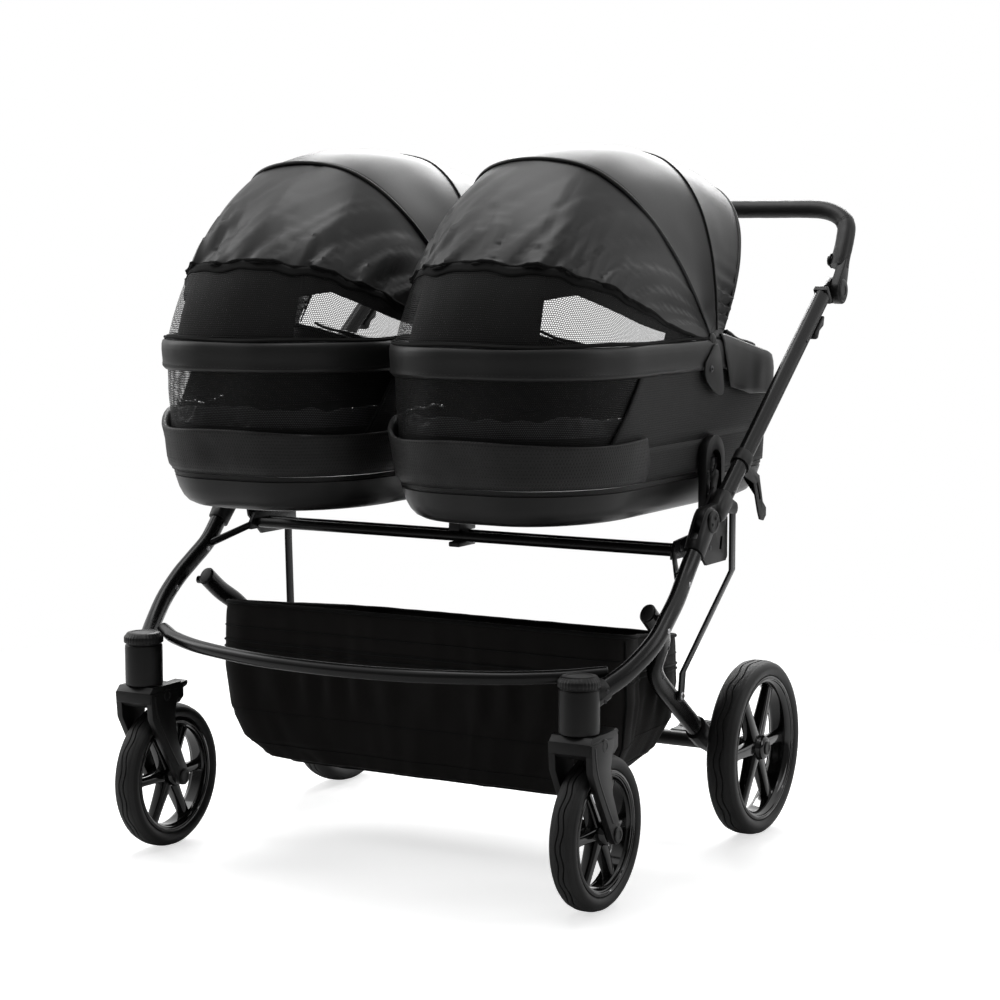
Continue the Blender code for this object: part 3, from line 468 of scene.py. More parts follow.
def solid(rings):
    """Closed body over rings of equal count, with capped ends."""
    count = len(rings[0])
    points = [p for ring in rings for p in ring]
    faces = grid_faces(len(rings), count, closed=True)
    faces.append(tuple(range(count))[::-1])
    faces.append(tuple((len(rings) - 1) * count + k for k in range(count)))
    origin, volume = points[0], 0.0
    for face in faces:
        for k in range(1, len(face) - 1):
            one, two = points[face[k]] - origin, points[face[k + 1]] - origin
            volume += (points[face[0]] - origin).dot(one.cross(two))
    return points, (faces if volume > 0 else [face[::-1] for face in faces])


def join(shapes):
    points, faces = [], []
    for more_points, more_faces in shapes:
        shift = len(points)
        points += list(more_points)
        faces += [tuple(shift + v for v in face) for face in more_faces]
    return points, faces


def mirror(shape):
    """The same shape on the other side of the pram."""
    points, faces = shape
    return [Vector((-p[0], p[1], p[2])) for p in points], [face[::-1] for face in faces]


def both_sides(name, shape, look, body, stands_for=()):
    """A piece on the right and its mirror image on the left. Names of bodies and nodes end in the side."""
    for side in ("right", "left"):
        own = shape if side == "right" else mirror(shape)
        add_piece(name + "_" + side, own[0], own[1], look,
                  body + side if body.endswith("_") else body,
                  [n + "_" + side for n in stands_for])


def rounded_tube(path, half_a, half_b, reference=X, sides=24, end=0.0015, power=2.0):
    """A tube with slightly rounded ends."""
    first = path[0] + (path[1] - path[0]).normalized() * end
    last = path[-1] + (path[-2] - path[-1]).normalized() * end
    path = [path[0], first] + path[1:-1] + [last, path[-1]]
    full_a, full_b = [half_a] * len(path), [half_b] * len(path)
    for k in (0, -1):
        full_a[k], full_b[k] = half_a - end, half_b - end
    return solid(tube_rings(path, full_a, full_b, reference, sides, power))


def turned_body(profile, centre, axis, sides=32, bump_count=0, bump_depth=0.0):
    """A body turned about an axis from (radius, along) pairs, with optional ribs around it."""
    axis = Vector(axis).normalized()
    across = axis.orthogonal().normalized()
    up = axis.cross(across)
    rings = []
    for radius, along in profile:
        ring = []
        for k in range(sides):
            a = 2 * pi * k / sides
            r = radius - (bump_depth if bump_count and (k * bump_count * 2 // sides) % 2 else 0.0)
            ring.append(Vector(centre) + axis * along + across * r * cos(a) + up * r * sin(a))
        rings.append(ring)
    points, faces = solid(rings)
    return points, faces


def screw(centre, axis, radius=0.0035, height=0.0014):
    """A low screw head with a hexagon recess."""
    axis = Vector(axis).normalized()
    head = turned_body([(radius, 0), (radius, height * 0.6), (radius * 0.8, height), (radius * 0.5, height)],
                       centre, axis, 20)
    recess = turned_body([(radius * 0.48, height), (radius * 0.48, height * 1.02), (radius * 0.3, height * 0.5)],
                         centre, axis, 6)
    return join([head, recess])


def prism_x(outline, low, high, bevel=0.0):
    """An outline of (y, z) points extruded along x, with a bevelled rim on both sides."""
    middle = Vector((sum(p[0] for p in outline) / len(outline), sum(p[1] for p in outline) / len(outline)))

    def ring(x, inset):
        points = []
        count = len(outline)
        for i, p in enumerate(outline):
            p = Vector(p)
            before = (p - Vector(outline[i - 1])).normalized()
            after = (Vector(outline[(i + 1) % count]) - p).normalized()
            normal = Vector((-(before + after).y, (before + after).x))
            if normal.length < 1e-6:
                normal = p - middle
            normal.normalize()
            if normal.dot(middle - p) < 0:
                normal = -normal
            q = p + normal * inset
            points.append(Vector((x, q.x, q.y)))
        return points

    step = bevel * 0.35
    rings = [ring(low, bevel), ring(low + step, step), ring(low + bevel, 0), ring(high - bevel, 0),
             ring(high - step, step), ring(high, bevel)] if bevel else [ring(low, 0), ring(high, 0)]
    return solid(rings)


def round_corners(outline, radius, steps=4):
    """Replace each corner of a closed outline of (y, z) points by a short curve."""
    out = []
    for i, p in enumerate(outline):
        p = Vector(p)
        before, after = Vector(outline[i - 1]) - p, Vector(outline[(i + 1) % len(outline)]) - p
        reach = min(radius, before.length * 0.48, after.length * 0.48)
        a, b = p + before.normalized() * reach, p + after.normalized() * reach
        for k in range(steps + 1):
            t = k / steps
            out.append(a * (1 - t) ** 2 + p * 2 * t * (1 - t) + b * t * t)
    return out


def detailed_copy(node_name, look, body, bevel=0.0011, angle=32):
    """A CAD piece with its edges broken, welded into one smooth-shaded skin."""
    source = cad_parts[node_name]
    mesh = source.data.copy()
    mesh.name = node_name + "_finished"
    work = bmesh.new()
    work.from_mesh(mesh)
    bmesh.ops.remove_doubles(work, verts=work.verts, dist=0.00002)
    bmesh.ops.dissolve_limit(work, angle_limit=radians(1.5), verts=work.verts, edges=work.edges)
    work.to_mesh(mesh)
    work.free()
    mesh.materials.clear()
    mesh.materials.append(look)
    item = bpy.data.objects.new(node_name + "_finished", mesh)
    bpy.context.scene.collection.objects.link(item)
    edge = item.modifiers.new("edges", "BEVEL")
    edge.width = bevel
    edge.segments = 2
    edge.limit_method = "ANGLE"
    edge.angle_limit = radians(angle)
    edge.harden_normals = False
    apply_modifiers(item)
    item.data.shade_smooth()
    item.data.set_sharp_from_angle(angle=radians(50))
    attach(item, body)
    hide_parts(node_name)
    return item


def stitches(path, outward, length=0.0032, gap=0.0016, radius=0.00035):
    """A row of raised stitches along a path."""
    shapes, left_over = [], 0.0
    for p, q in zip(path, path[1:]):
        run = (q - p).length
        way = (q - p).normalized()
        at = left_over
        while at + length < run:
            a, b = p + way * at, p + way * (at + length)
            side = way.cross(outward).normalized()
            top = outward.normalized() * radius
            ring = [side * radius, top, -side * radius, -top]
            shapes.append(solid([[a + r * 0.4 for r in ring], [a + way * radius + r for r in ring],
                                 [b - way * radius + r for r in ring], [b + r * 0.4 for r in ring]]))
            at += length + gap
        left_over = max(at - run, 0.0)
    return join(shapes) if shapes else ([], [])


make_camera()


# Carrycots: outlines and shells

COT_X = 0.206
HEAD_Y = -0.438
FOOT_Y = 0.272
BASE_Z = 0.545
WALL_Z = 0.600
RIM_Z = 0.800
FOOT_RIM_Z = 0.752
WALL_HALF = 0.185
WALL_INSIDE = WALL_HALF - 0.009
PIVOT_YZ = (0.006, 0.775)
HOOD_HALF = 0.187
REAR_BOW = (129.0, 0.375, 2.6)
MIDDLE_BOW = (90.0, 0.3120, 2.8)
FRONT_BOW = (54.5, 0.330, 3.0)
ARCH_ANGLES = (3, 6.5, 13, 24, 39, 56, 73, 90, 107, 124, 141, 156, 167, 173.5, 177)
NET_TOP_Z = 0.7620
NET_LOW_Z = 0.6500
BAND_DEEP = 0.0425
FLAP_END = 0.335
COLUMN_STEPS = 10


def cot_outline(half, head, foot, count=17):
    """A plan outline, nearly elliptical at the head end and rounder at the foot, from the head's middle."""
    head_rx, head_ry, foot_r = half - 0.036, 0.170, 0.085
    right = [(half - head_rx + head_rx * sin(a), head + head_ry - head_ry * cos(a))
             for a in [radians(90 * k / (count - 1)) for k in range(count)]]
    right.insert(0, (0.0, head))
    right += [(half - foot_r + foot_r * cos(a), foot - foot_r + foot_r * sin(a))
              for a in [radians(90 * k / (count - 1)) for k in range(count)]]
    right.append((0.0, foot))
    return [Vector((x, y, 0)) for x, y in right]


def along_outline(half, head, foot, shares):
    """Points at shares of the way round: 0 at the head's middle, 1 at the foot's middle, negative on the left."""
    line = cot_outline(half, head, foot)
    reach = [0.0]
    for p, q in zip(line, line[1:]):
        reach.append(reach[-1] + (q - p).length)
    points = []
    for share in shares:
        want = min(abs(share), 1.0) * reach[-1]
        k = 0
        while k < len(line) - 2 and reach[k + 1] < want:
            k += 1
        f = (want - reach[k]) / max(reach[k + 1] - reach[k], 1e-9)
        p = line[k].lerp(line[k + 1], f)
        points.append(Vector((copysign(p.x, share) if share else 0.0, p.y, 0)))
    return points


def rim_height(y):
    """The rim is level at the head end and falls towards the foot end."""
    fall = min(max((y - 0.03) / (FOOT_Y - 0.03), 0), 1)
    return RIM_Z - (RIM_Z - FOOT_RIM_Z) * fall


def wall_size(z):
    """How far the side wall stands out at a height: half width, head end and foot end."""
    stations = [(WALL_Z, -0.0045, 0.004), (0.660, -0.0025, 0.001), (0.705, 0.0, 0.0), (0.750, 0.0015, -0.001),
                (RIM_Z, 0.0015, -0.001)]
    for (z0, a0, b0), (z1, a1, b1) in zip(stations, stations[1:]):
        if z <= z1:
            f = (z - z0) / (z1 - z0)
            a, b = a0 + (a1 - a0) * f, b0 + (b1 - b0) * f
            return WALL_HALF + a, HEAD_Y + b, FOOT_Y - b
    return WALL_HALF + 0.0015, HEAD_Y - 0.001, FOOT_Y + 0.001


def spread(low, high, count):
    return [low + (high - low) * k / (count - 1) for k in range(count)]


def at_height(points, x, height):
    """Move plan points to a cot and to a height; height is a number, or a function of y."""
    return [Vector((x + p.x, p.y, height(p.y) if callable(height) else height)) for p in points]


def net_edge_share(z):
    """Where the wall's net window ends, as a share of the way round. Its end slants."""
    low, high = 0.228, 0.303
    f = (z - NET_LOW_Z) / 0.095
    return low + (high - low) * f


def outward_at(p, x):
    """The direction away from a cot's middle line in plan, near the head end's curve."""
    centre = Vector((x, min(max(p.y, -0.27), 0.19), p.z))
    way = p - centre
    way.z = 0
    return way.normalized() if way.length > 1e-6 else Vector((0, -1, 0))


def make_tub(x, side):
    """The moulded base: rounded below, with a lip line under the fabric."""
    profile = [(0.120, -0.362, 0.198, BASE_Z), (0.146, -0.391, 0.226, BASE_Z), (0.154, -0.401, 0.236,
                                                                                BASE_Z + 0.002),
               (0.162, -0.411, 0.247, BASE_Z + 0.007), (0.168, -0.418, 0.254, BASE_Z + 0.015),
               (0.173, -0.424, 0.260, BASE_Z + 0.027), (0.1765, -0.428, 0.264, BASE_Z + 0.041),
               (0.1775, -0.4295, 0.265, BASE_Z + 0.0460), (0.1762, -0.4280, 0.2638, BASE_Z + 0.0468),
               (0.1762, -0.4280, 0.2638, BASE_Z + 0.0482), (0.1780, -0.4305, 0.2655, BASE_Z + 0.0490),
               (0.1780, -0.4310, 0.266, WALL_Z - 0.0008), (0.171, -0.424, 0.259, WALL_Z - 0.0008),
               (0.160, -0.412, 0.247, BASE_Z + 0.012), (0.150, -0.400, 0.236, BASE_Z + 0.006)]
    shares = spread(-1, 1, 97)[:-1]
    rings = [at_height(along_outline(half, head, foot, shares), x, z) for half, head, foot, z in profile]
    points, faces = solid(rings)
    return add_piece("cot_base_" + side, points, faces, BASE_PLASTIC, "cot_" + side, ["cot_tub_" + side])


def make_wall(x, side):
    """The fabric wall: dotted fabric with a net window round the head end, and a lining inside."""
    body = "cot_" + side
    below = []
    for z in spread(WALL_Z + 0.0005, NET_LOW_Z, 6):
        size = wall_size(z)
        below.append(at_height(along_outline(*size, spread(-1, 1, 121)[:-1]), x, z))
    surface("cot_wall_lower_" + side, below, SIDE_FABRIC, body, 0.0025, closed=True,
            stands_for=["cot_wall_" + side])
    heights = spread(NET_LOW_Z, NET_TOP_Z + 0.004, 9)
    fabric, net_rows = [], []
    for z in heights:
        size, edge = wall_size(z), net_edge_share(z)
        way_round = spread(edge, 2 - edge, 97)
        shares = [s if s <= 1 else s - 2 for s in way_round]
        fabric.append(at_height(along_outline(*size, shares), x, z))
        row = at_height(along_outline(size[0] - 0.002, size[1] + 0.002, size[2], spread(-edge, edge, 81)), x, z)
        for p in row:
            p += outward_at(p, x) * 0.0018 * noise.noise(Vector((p.x * 22, p.y * 22, p.z * 30 + x)))
        net_rows.append(row)
    surface("cot_wall_upper_" + side, fabric, SIDE_FABRIC, body, 0.0025)
    surface("wall_net_" + side, net_rows, WALL_NET, body)
    for end in (0, -1):
        rows = []
        for row in fabric:
            p = row[end]
            out = outward_at(p, x)
            way = (row[1] - row[0]).normalized() if end == 0 else (row[-2] - row[-1]).normalized()
            rows.append([p + out * 0.0008 - way * 0.0035, p + out * 0.0013, p + out * 0.0008 + way * 0.0035])
        surface("net_binding_%s_%s" % ("a" if end == 0 else "b", side), rows, TAPE_CLOTH, body, 0.0008)
    lining = []
    for z in spread(WALL_Z + 0.001, 0.672, 4):
        lining.append(at_height(along_outline(WALL_INSIDE, HEAD_Y + 0.009, FOOT_Y - 0.009, spread(-1, 1,
                                                                                                  97)[:-1]),
                                x, z))
    surface("cot_lining_" + side, lining, LINING_CLOTH, body, 0.0015, closed=True)
    # A crinkled wrap behind the net, whose light grey colour is painted reflection
    cover = []
    for i, z in enumerate(spread(0.630, 0.700, 15)):
        row = at_height(along_outline(WALL_INSIDE + 0.001, HEAD_Y + 0.008, FOOT_Y - 0.008, spread(-0.36, 0.36,
                                                                                                  161)),
                        x, z)
        for j, p in enumerate(row):
            edge = 0.010 * noise.noise(Vector((j * 0.11, 3.0, x))) * (i / 14)
            crinkle = 0.0070 * noise.noise(Vector((p.x * 60, p.y * 60, z * 70 + x)))
            crinkle += 0.0036 * noise.noise(Vector((p.x * 150, p.y * 150, z * 160)))
            row[j] = p - outward_at(p, x) * (0.0035 + abs(crinkle)) + Vector((0, 0, edge))
        cover.append(row)
    surface("mattress_wrap_" + side, cover, FOIL, body, 0.0004)


def flap_edge(share):
    """Height of the punched flap's top edge. It dips behind the corner and rises to its ends."""
    a = abs(share) / FLAP_END
    lifted = 0.028 * exp(-((share + 0.245) / 0.075) ** 2) if share > -0.245 else 0.028
    return 0.6660 + 0.0035 * cos(a * 5.2) + 0.0055 * max(0.0, a - 0.8) + lifted


def make_flap(x, side):
    """The punched leatherette flap, folded down round the head end: a soft pad with a rolled top edge."""
    columns = spread(-FLAP_END, FLAP_END, 121)
    profile = [(0.000, -0.0035), (0.000, 0.0015), (0.06, 0.0044), (0.22, 0.0062), (0.42, 0.0070), (0.62, 0.0080),
               (0.80, 0.0094), (0.90, 0.0104), (0.955, 0.0108), (0.985, 0.0098), (1.0, 0.0074), (0.99, 0.0046),
               (0.955, 0.0026), (0.90, 0.0012), (0.70, 0.0), (0.30, -0.0015), (0.05, -0.0035)]
    rings = []
    for share in columns:
        end = min(1.0, (FLAP_END - abs(share)) / 0.030)
        soft = 1 - (1 - end) ** 3
        top, low = flap_edge(share), WALL_Z + 0.0035 - 0.0035 * (1 - soft)
        top = top - (top - low) * 0.10 * (1 - soft)
        lean = 0.5 + 0.5 * sin(share * 9 + x * 7)
        ring = []
        for part, out in profile:
            z = low + (top - low) * part
            half, head, foot = wall_size(z)
            turn = share + copysign(0.016 * sin(pi * part) * (1 - soft), share)
            p = at_height(along_outline(half, head, foot, [turn]), x, z)[0]
            ripple = 0.0011 * noise.noise(Vector((share * 30, part * 2.2, x * 5)))
            bulge = out * (0.08 + 0.92 * soft) + (ripple + 0.0018 * lean * part) * soft
            ring.append(p + outward_at(p, x) * bulge)
        rings.append(ring)
    points, faces = solid(rings)
    uv = []
    run = 0.0
    for i, ring in enumerate(rings):
        run += (ring[8] - rings[i - 1][8]).length if i else 0.0
        v = 0.0
        for j, p in enumerate(ring):
            v += (p - ring[j - 1]).length if j else 0.0
            uv.append((run, v))
    flap = add_piece("cot_flap_" + side, points, faces, FLAP_LEATHER, "cot_" + side, uv=uv)
    return flap


def make_rim_band(x, side):
    """The leatherette band under the rim: full above, with a stitched hem and a tape edge below it."""
    body = "cot_" + side
    shares = spread(-1, 1, 201)[:-1]
    profile = [(-1.10, 0.0010), (-1.03, 0.0042), (-0.97, 0.0058), (-0.90, 0.0054), (-0.80, 0.0050), (-0.60,
                                                                                                     0.0056),
               (-0.40, 0.0062), (-0.20, 0.0060), (-0.08, 0.0046), (-0.015, 0.0018), (0.0, -0.002),
               (0.0, -0.0075), (-0.12, -0.0105), (-0.90, -0.0105)]
    rows = []
    for down, out in profile:
        row = []
        for share in shares:
            flat = along_outline(WALL_HALF + 0.0015, HEAD_Y - 0.001, FOOT_Y + 0.001, [share])[0]
            p = Vector((x + flat.x, flat.y, rim_height(flat.y) + down * BAND_DEEP))
            strength = 1.0 if -1.0 < down < 0 and out > 0.004 else 0.2
            sag = noise.noise(Vector((share * 9, down * 1.3, x * 3)))
            crease = max(0.0, sin(share * 95 + 2 * sin(share * 13))) ** 3 * exp(-((share + 0.18) / 0.13) ** 2)
            bulge = out + (0.0011 * sag + 0.0009 * crease * (1 + down)) * strength
            p += outward_at(p, x) * bulge
            if down < -0.9:
                p.z += 0.0012 * noise.noise(Vector((share * 12, 7.0, x)))
            row.append(p)
        rows.append(row)
    surface("rim_band_" + side, rows, BAND_LEATHER, body, 0.0012, closed=True)
    seam = []
    for share in spread(-0.52, 0.52, 140):
        flat = along_outline(WALL_HALF + 0.0015, HEAD_Y - 0.001, FOOT_Y + 0.001, [share])[0]
        p = Vector((x + flat.x, flat.y, rim_height(flat.y) - 0.90 * BAND_DEEP))
        seam.append(p + outward_at(p, x) * 0.0058)
    shape = stitches(seam, Vector((0, -0.4, 0.2)), radius=0.0004)
    add_piece("band_stitches_" + side, *shape, BAND_LEATHER, body)
    for name, height, out, share_end in (("rim_zip_", 0.0016, 0.0030, 0.62), ("rim_zip_inner_", 0.0030, -0.0010,
                                                                              0.60)):
        path = []
        for share in spread(-share_end, share_end, 160):
            flat = along_outline(WALL_HALF, HEAD_Y, FOOT_Y, [share])[0]
            p = Vector((x + flat.x, flat.y, rim_height(flat.y) + height
                        + 0.0012 * sin(share * 26 + x * 9) * (1 - (share / share_end) ** 8)))
            path.append(p + outward_at(p, x) * (out + 0.0006 * sin(share * 31)))
        points, faces = solid(tube_rings(path, 0.0021, 0.0016, Z, 10))
        add_piece(name + side, points, faces, TAPE_CLOTH, body)


def make_mattress(x, side):
    """A knitted mattress with a crowned top, a piped edge and a slight dip where a child lies."""
    shares = spread(-1, 1, 81)[:-1]
    rings = []
    for half, head, foot, z in ((0.120, -0.370, 0.205, BASE_Z + 0.0085), (0.150, -0.400, 0.235, BASE_Z + 0.0088),
                                (0.155, -0.406, 0.241, 0.563), (0.1565, -0.408, 0.2425, 0.572),
                                (0.155, -0.406, 0.241, 0.580), (0.150, -0.401, 0.236, 0.5855),
                                (0.141, -0.391, 0.226, 0.5880), (0.115, -0.362, 0.198, 0.5892),
                                (0.070, -0.312, 0.150, 0.5888), (0.030, -0.262, 0.105, 0.5884)):
        rings.append(at_height(along_outline(half, head, foot, shares), x, z))
    points, faces = solid(rings)
    uv = [(p.x, p.y) for p in points]
    item = add_piece("mattress_" + side, points, faces, MATTRESS_KNIT, "cot_" + side, ["cot_mattress_" + side],
                     uv)


# Carrycots: hood

def bow_arch(bow, x, shrink=0.0, grow=0.0):
    """The arch of a hood bow, from the right side over the top to the left."""
    angle, reach, power = bow
    points = []
    for a in [radians(degrees) for degrees in ARCH_ANGLES]:
        across = (HOOD_HALF - shrink + grow * 0.3) * copysign(abs(cos(a)) ** (2 / power), cos(a))
        out = (reach - shrink + grow) * sin(a) ** (2 / power)
        points.append(Vector((x + across, PIVOT_YZ[0] + out * cos(radians(angle)),
                              PIVOT_YZ[1] + out * sin(radians(angle)))))
    return points


def rim_arch(x):
    """The line along which the hood's rear panel meets the rim, around the head end."""
    half, head = HOOD_HALF, HEAD_Y + 0.002
    radius_x, radius_y = half - 0.036, 0.170
    side = [(half, -0.028), (half, -0.070), (half, -0.150), (half, head + radius_y)]
    side += [(half - radius_x + radius_x * cos(a), head + radius_y - radius_y * sin(a))
             for a in [radians(22.5 * i) for i in range(1, 4)]]
    loop = side + [(0.0, head)] + [(-px, py) for px, py in side[::-1]]
    return [Vector((x + px, py, RIM_Z + 0.0003)) for px, py in loop]


def between(p, q, share):
    """A point part of the way from one arch to the next, turning about the hood's pivot."""
    angle_p = atan2(p.z - PIVOT_YZ[1], p.y - PIVOT_YZ[0])
    angle_q = atan2(q.z - PIVOT_YZ[1], q.y - PIVOT_YZ[0])
    reach = (hypot(p.z - PIVOT_YZ[1], p.y - PIVOT_YZ[0]) * (1 - share)
             + hypot(q.z - PIVOT_YZ[1], q.y - PIVOT_YZ[0]) * share)
    angle = angle_p * (1 - share) + angle_q * share
    return Vector((p.x * (1 - share) + q.x * share, PIVOT_YZ[0] + reach * cos(angle),
                   PIVOT_YZ[1] + reach * sin(angle)))


def away(p, x):
    """Outwards from the hood's middle."""
    return (p - Vector((x + (p.x - x) * 0.25, PIVOT_YZ[0] + (p.y - PIVOT_YZ[0]) * 0.15,
                        PIVOT_YZ[1]))).normalized()


def zip_share(t, x):
    """How far up the rear panel the zip runs, from t = 0 at the right pivot to 14 at the left. It waves."""
    lift = 0.350 * (1 - abs(1 - t / 7) ** 2.76)
    wave = 0.0075 * sin(t * 4.3 + x * 11) + 0.0045 * sin(t * 9.1 + 1.3 + x * 5)
    return max(lift + wave * min(1.0, lift / 0.12), 0.0)


def make_hood(x, side):
    rear_body, middle_body, front_body = ("hood_%s_%s" % (k, side) for k in ("rear", "middle", "front"))
    cot = "cot_" + side
    rim = smooth(rim_arch(x), COLUMN_STEPS)
    rear, middle, front = (smooth(bow_arch(bow, x), COLUMN_STEPS) for bow in (REAR_BOW, MIDDLE_BOW, FRONT_BOW))
    count = len(rim)
    places = [14 * k / (count - 1) for k in range(count)]
    seed = 3.0 if side == "right" else 8.0

    folds = []
    for k in range(15):
        pick = [noise.noise(Vector((k * 3.7 + n * 11.3, seed, n))) for n in range(5)]
        folds.append((3.1 + 0.58 * k + 0.34 * pick[0], 0.0138 + 0.0120 * pick[1], 0.58 + 0.50 * pick[2],
                      -1.1 + 0.9 * pick[3], 0.25 + 0.12 * pick[4]))

    def fold_depth(t, share, low):
        """Radial folds that run up from the zip and fade towards the bow."""
        up = (share - low) / (1 - low)
        depth = 0.0
        for centre, height, reach, drift, width in folds:
            off = (t - centre - drift * up) / (width * (1 + 1.6 * up))
            if abs(off) < 3:
                depth += height * (exp(-off * off) - 0.35) * exp(-(up / reach) ** 2)
        slack = 0.0045 * noise.noise(Vector((t * 0.55, share * 2.0, seed + 4))) * up * (1 - up) * 4
        ends = min(1.0, t / 1.8, (14 - t) / 1.8)
        return (depth * 0.8 + slack) * ends - 0.0012 * up * (1 - up) * 4 * ends

    # The leatherette from the zip up to the rear bow
    rows = []
    for i in range(37):
        row = []
        for k, t in enumerate(places):
            low = zip_share(t, x)
            share = low + (1 - low) * (i / 36) ** 1.15
            p = between(rim[k], rear[k], share)
            row.append(p + away(p, x) * fold_depth(t, share, low))
        rows.append(row)
    start, end = (x, -0.436, 0.800), (x, -0.236, 1.060)
    panel = surface("hood_rear_leather_" + side, rows, HOOD_LEATHER, None, 0.0014,
                    stands_for=["hood_rear_panel_" + side], blend=(cot, rear_body, start, end),
                    inside=(x, -0.1, 0.80))
    sheet_of(rows)

    # The net below the zip
    net_rows = []
    for i in range(13):
        row = []
        for k, t in enumerate(places):
            share = max(zip_share(t, x) - 0.010, 0.0) * i / 12
            p = between(rim[k], rear[k], share)
            slack = 0.0022 * noise.noise(Vector((t * 1.1, share * 3, seed + 9))) * sin(pi * i / 12)
            row.append(p - away(p, x) * (0.0022 + slack))
        net_rows.append(row)
    net_piece = surface("hood_net_" + side, net_rows, HOOD_NET, None, blend=(cot, rear_body, start, end),
                        inside=(x, -0.1, 0.80))
    sheet_of(net_rows)

    # The dark lining behind the net leaves a window on each side of the hood's middle
    def window_top(t):
        t = min(t, 14 - t)
        return 0.12 + 0.125 * (t - 2.25) / 2.75 if t < 5.0 else 0.245 - 0.045 * (t - 5.0) / 0.8

    patches = (("middle", 5.78, 8.22, lambda t: 0.0), ("over_right", 2.2, 5.80, window_top),
               ("over_left", 8.20, 11.8, window_top), ("right", 0.6, 2.24, lambda t: 0.0),
               ("left", 11.76, 13.4, lambda t: 0.0))
    for name, first, last, bottom in patches:
        patch = []
        for i in range(11):
            row = []
            for t in spread(first, last, max(8, int((last - first) * 14))):
                low, f = max(zip_share(t, x) - 0.006, 0.001), t * COLUMN_STEPS
                k = min(int(f), count - 2)
                share = min(bottom(t), low) * (1 - i / 10) + low * i / 10
                p = between(rim[k].lerp(rim[k + 1], f - k), rear[k].lerp(rear[k + 1], f - k), share)
                pleat = 0.0022 * noise.noise(Vector((t * 4.6, share * 2.5, seed + 12))) * min(1.0, i / 3,
                                                                                              (10 - i) / 3)
                row.append(p - away(p, x) * (0.0068 + pleat))
            patch.append(row)
        surface("hood_lining_%s_%s" % (name, side), patch, LINING_CLOTH, None, 0.0008,
                blend=(cot, rear_body, start, end), inside=(x, -0.1, 0.80))
    border = []
    for i in range(4):
        row = []
        for k, t in enumerate(places):
            low = zip_share(t, x)
            depth = 0.040 * min(1.0, low / 0.10)
            share = max(low - depth * i / 3 - 0.004, 0.0)
            p = between(rim[k], rear[k], share)
            row.append(p - away(p, x) * 0.0010)
        border.append(row)
    surface("hood_net_border_" + side, border, TAPE_CLOTH, None, 0.0006, blend=(cot, rear_body, start, end),
            inside=(x, -0.1, 0.80))

    # The zip: a tape with two rows of teeth that stand a little proud
    for name, drop, out, radius in (("hood_zip_", 0.0, 0.0012, 0.0022), ("hood_zip_low_", 0.010, -0.0012,
                                                                         0.0018)):
        path = []
        for k, t in enumerate(places[2:-2], 2):
            low = max(zip_share(t, x) - drop, 0.0)
            p = between(rim[k], rear[k], low)
            path.append(p + away(p, x) * (out + fold_depth(t, low, zip_share(t, x) * 0.999)))
        points, faces = solid(tube_rings(path, radius, radius * 0.8, Z, 10))
        piece = add_piece(name + side, points, faces, TAPE_CLOTH, None)
        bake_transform(piece)

    # The middle and front panels, each bellied a little between its bows
    def panel_rows(first, last, shares, belly, wrinkle):
        out = []
        for share in shares:
            row = []
            for k, t in enumerate(places):
                p = between(first[k], last[k], share)
                ends = min(1.0, t / 1.2, (14 - t) / 1.2)
                dip = -belly * 4 * share * (1 - share) * ends
                soft = wrinkle * noise.noise(Vector((t * 0.9, share * 1.6, seed + 2))) * 4 * share * (1 - share)
                row.append(p + away(p, x) * (dip + soft * ends))
            out.append(row)
        return out

    rows = panel_rows(rear, middle, spread(0.004, 0.996, 21), 0.0074, 0.0024)
    panel = surface("hood_middle_leather_" + side, rows, HOOD_LEATHER, None, 0.0014,
                    stands_for=["hood_middle_panel_" + side],
                    blend=(rear_body, middle_body, (x, -0.225, 1.050), (x, 0.006, 1.088)))
    sheet_of(rows)
    rows = panel_rows(middle, front, spread(0.004, 1.0, 21), 0.0084, 0.0044)
    for row in rows:
        for k, t in enumerate(places):
            pull = 0.0035 * exp(-((t - 1.4) / 0.9) ** 2) + 0.0035 * exp(-((t - 12.6) / 0.9) ** 2)
            row[k] += away(row[k], x) * pull * sin(t * 14 + rows.index(row) * 0.22)
    panel = surface("hood_front_leather_" + side, rows, HOOD_LEATHER, None, 0.0014,
                    stands_for=["hood_front_panel_" + side],
                    blend=(middle_body, front_body, (x, 0.006, 1.088), (x, 0.198, 1.044)))
    sheet_of(rows)

    # Piping on the bows, the bows' sleeves inside, and the hem of the front edge
    for name, line, radius, body, out in (("rear_piping_", rear, 0.0030, rear_body, 0.0014),
                                          ("middle_piping_", middle, 0.0016, middle_body, 0.0008),
                                          ("front_hem_", front, 0.0028, front_body, -0.0008),
                                          ("rear_bow_", rear, 0.0042, rear_body, -0.0065),
                                          ("middle_bow_", middle, 0.0042, middle_body, -0.0065),
                                          ("front_bow_", front, 0.0040, front_body, -0.0062)):
        path = [p + away(p, x) * out for p in line]
        middle_way = line[len(line) // 2] - Vector((x, *PIVOT_YZ))
        thick = [min(radius, max(0.0012, 0.022 * hypot(p.y - PIVOT_YZ[0], p.z - PIVOT_YZ[1]))) for p in line]
        points, faces = solid(tube_rings(path, thick, thick, middle_way.cross(X).normalized(), 12))
        look = TAPE_CLOTH if "bow" in name else HOOD_LEATHER
        add_piece(name + side, points, faces, look, body)


def sheet_of(rows):
    """Measure how long the cut over a panel's rows of points would be; the lengths are not kept or used."""
    middle = len(rows[0]) // 2
    length = sum((b[middle] - a[middle]).length for a, b in zip(rows, rows[1:]))
    longest = length
    for k in range(0, len(rows[0]), 5):
        longest = max(longest, sum((b[k] - a[k]).length for a, b in zip(rows, rows[1:])))


# Carrycots: apron, ears and latches

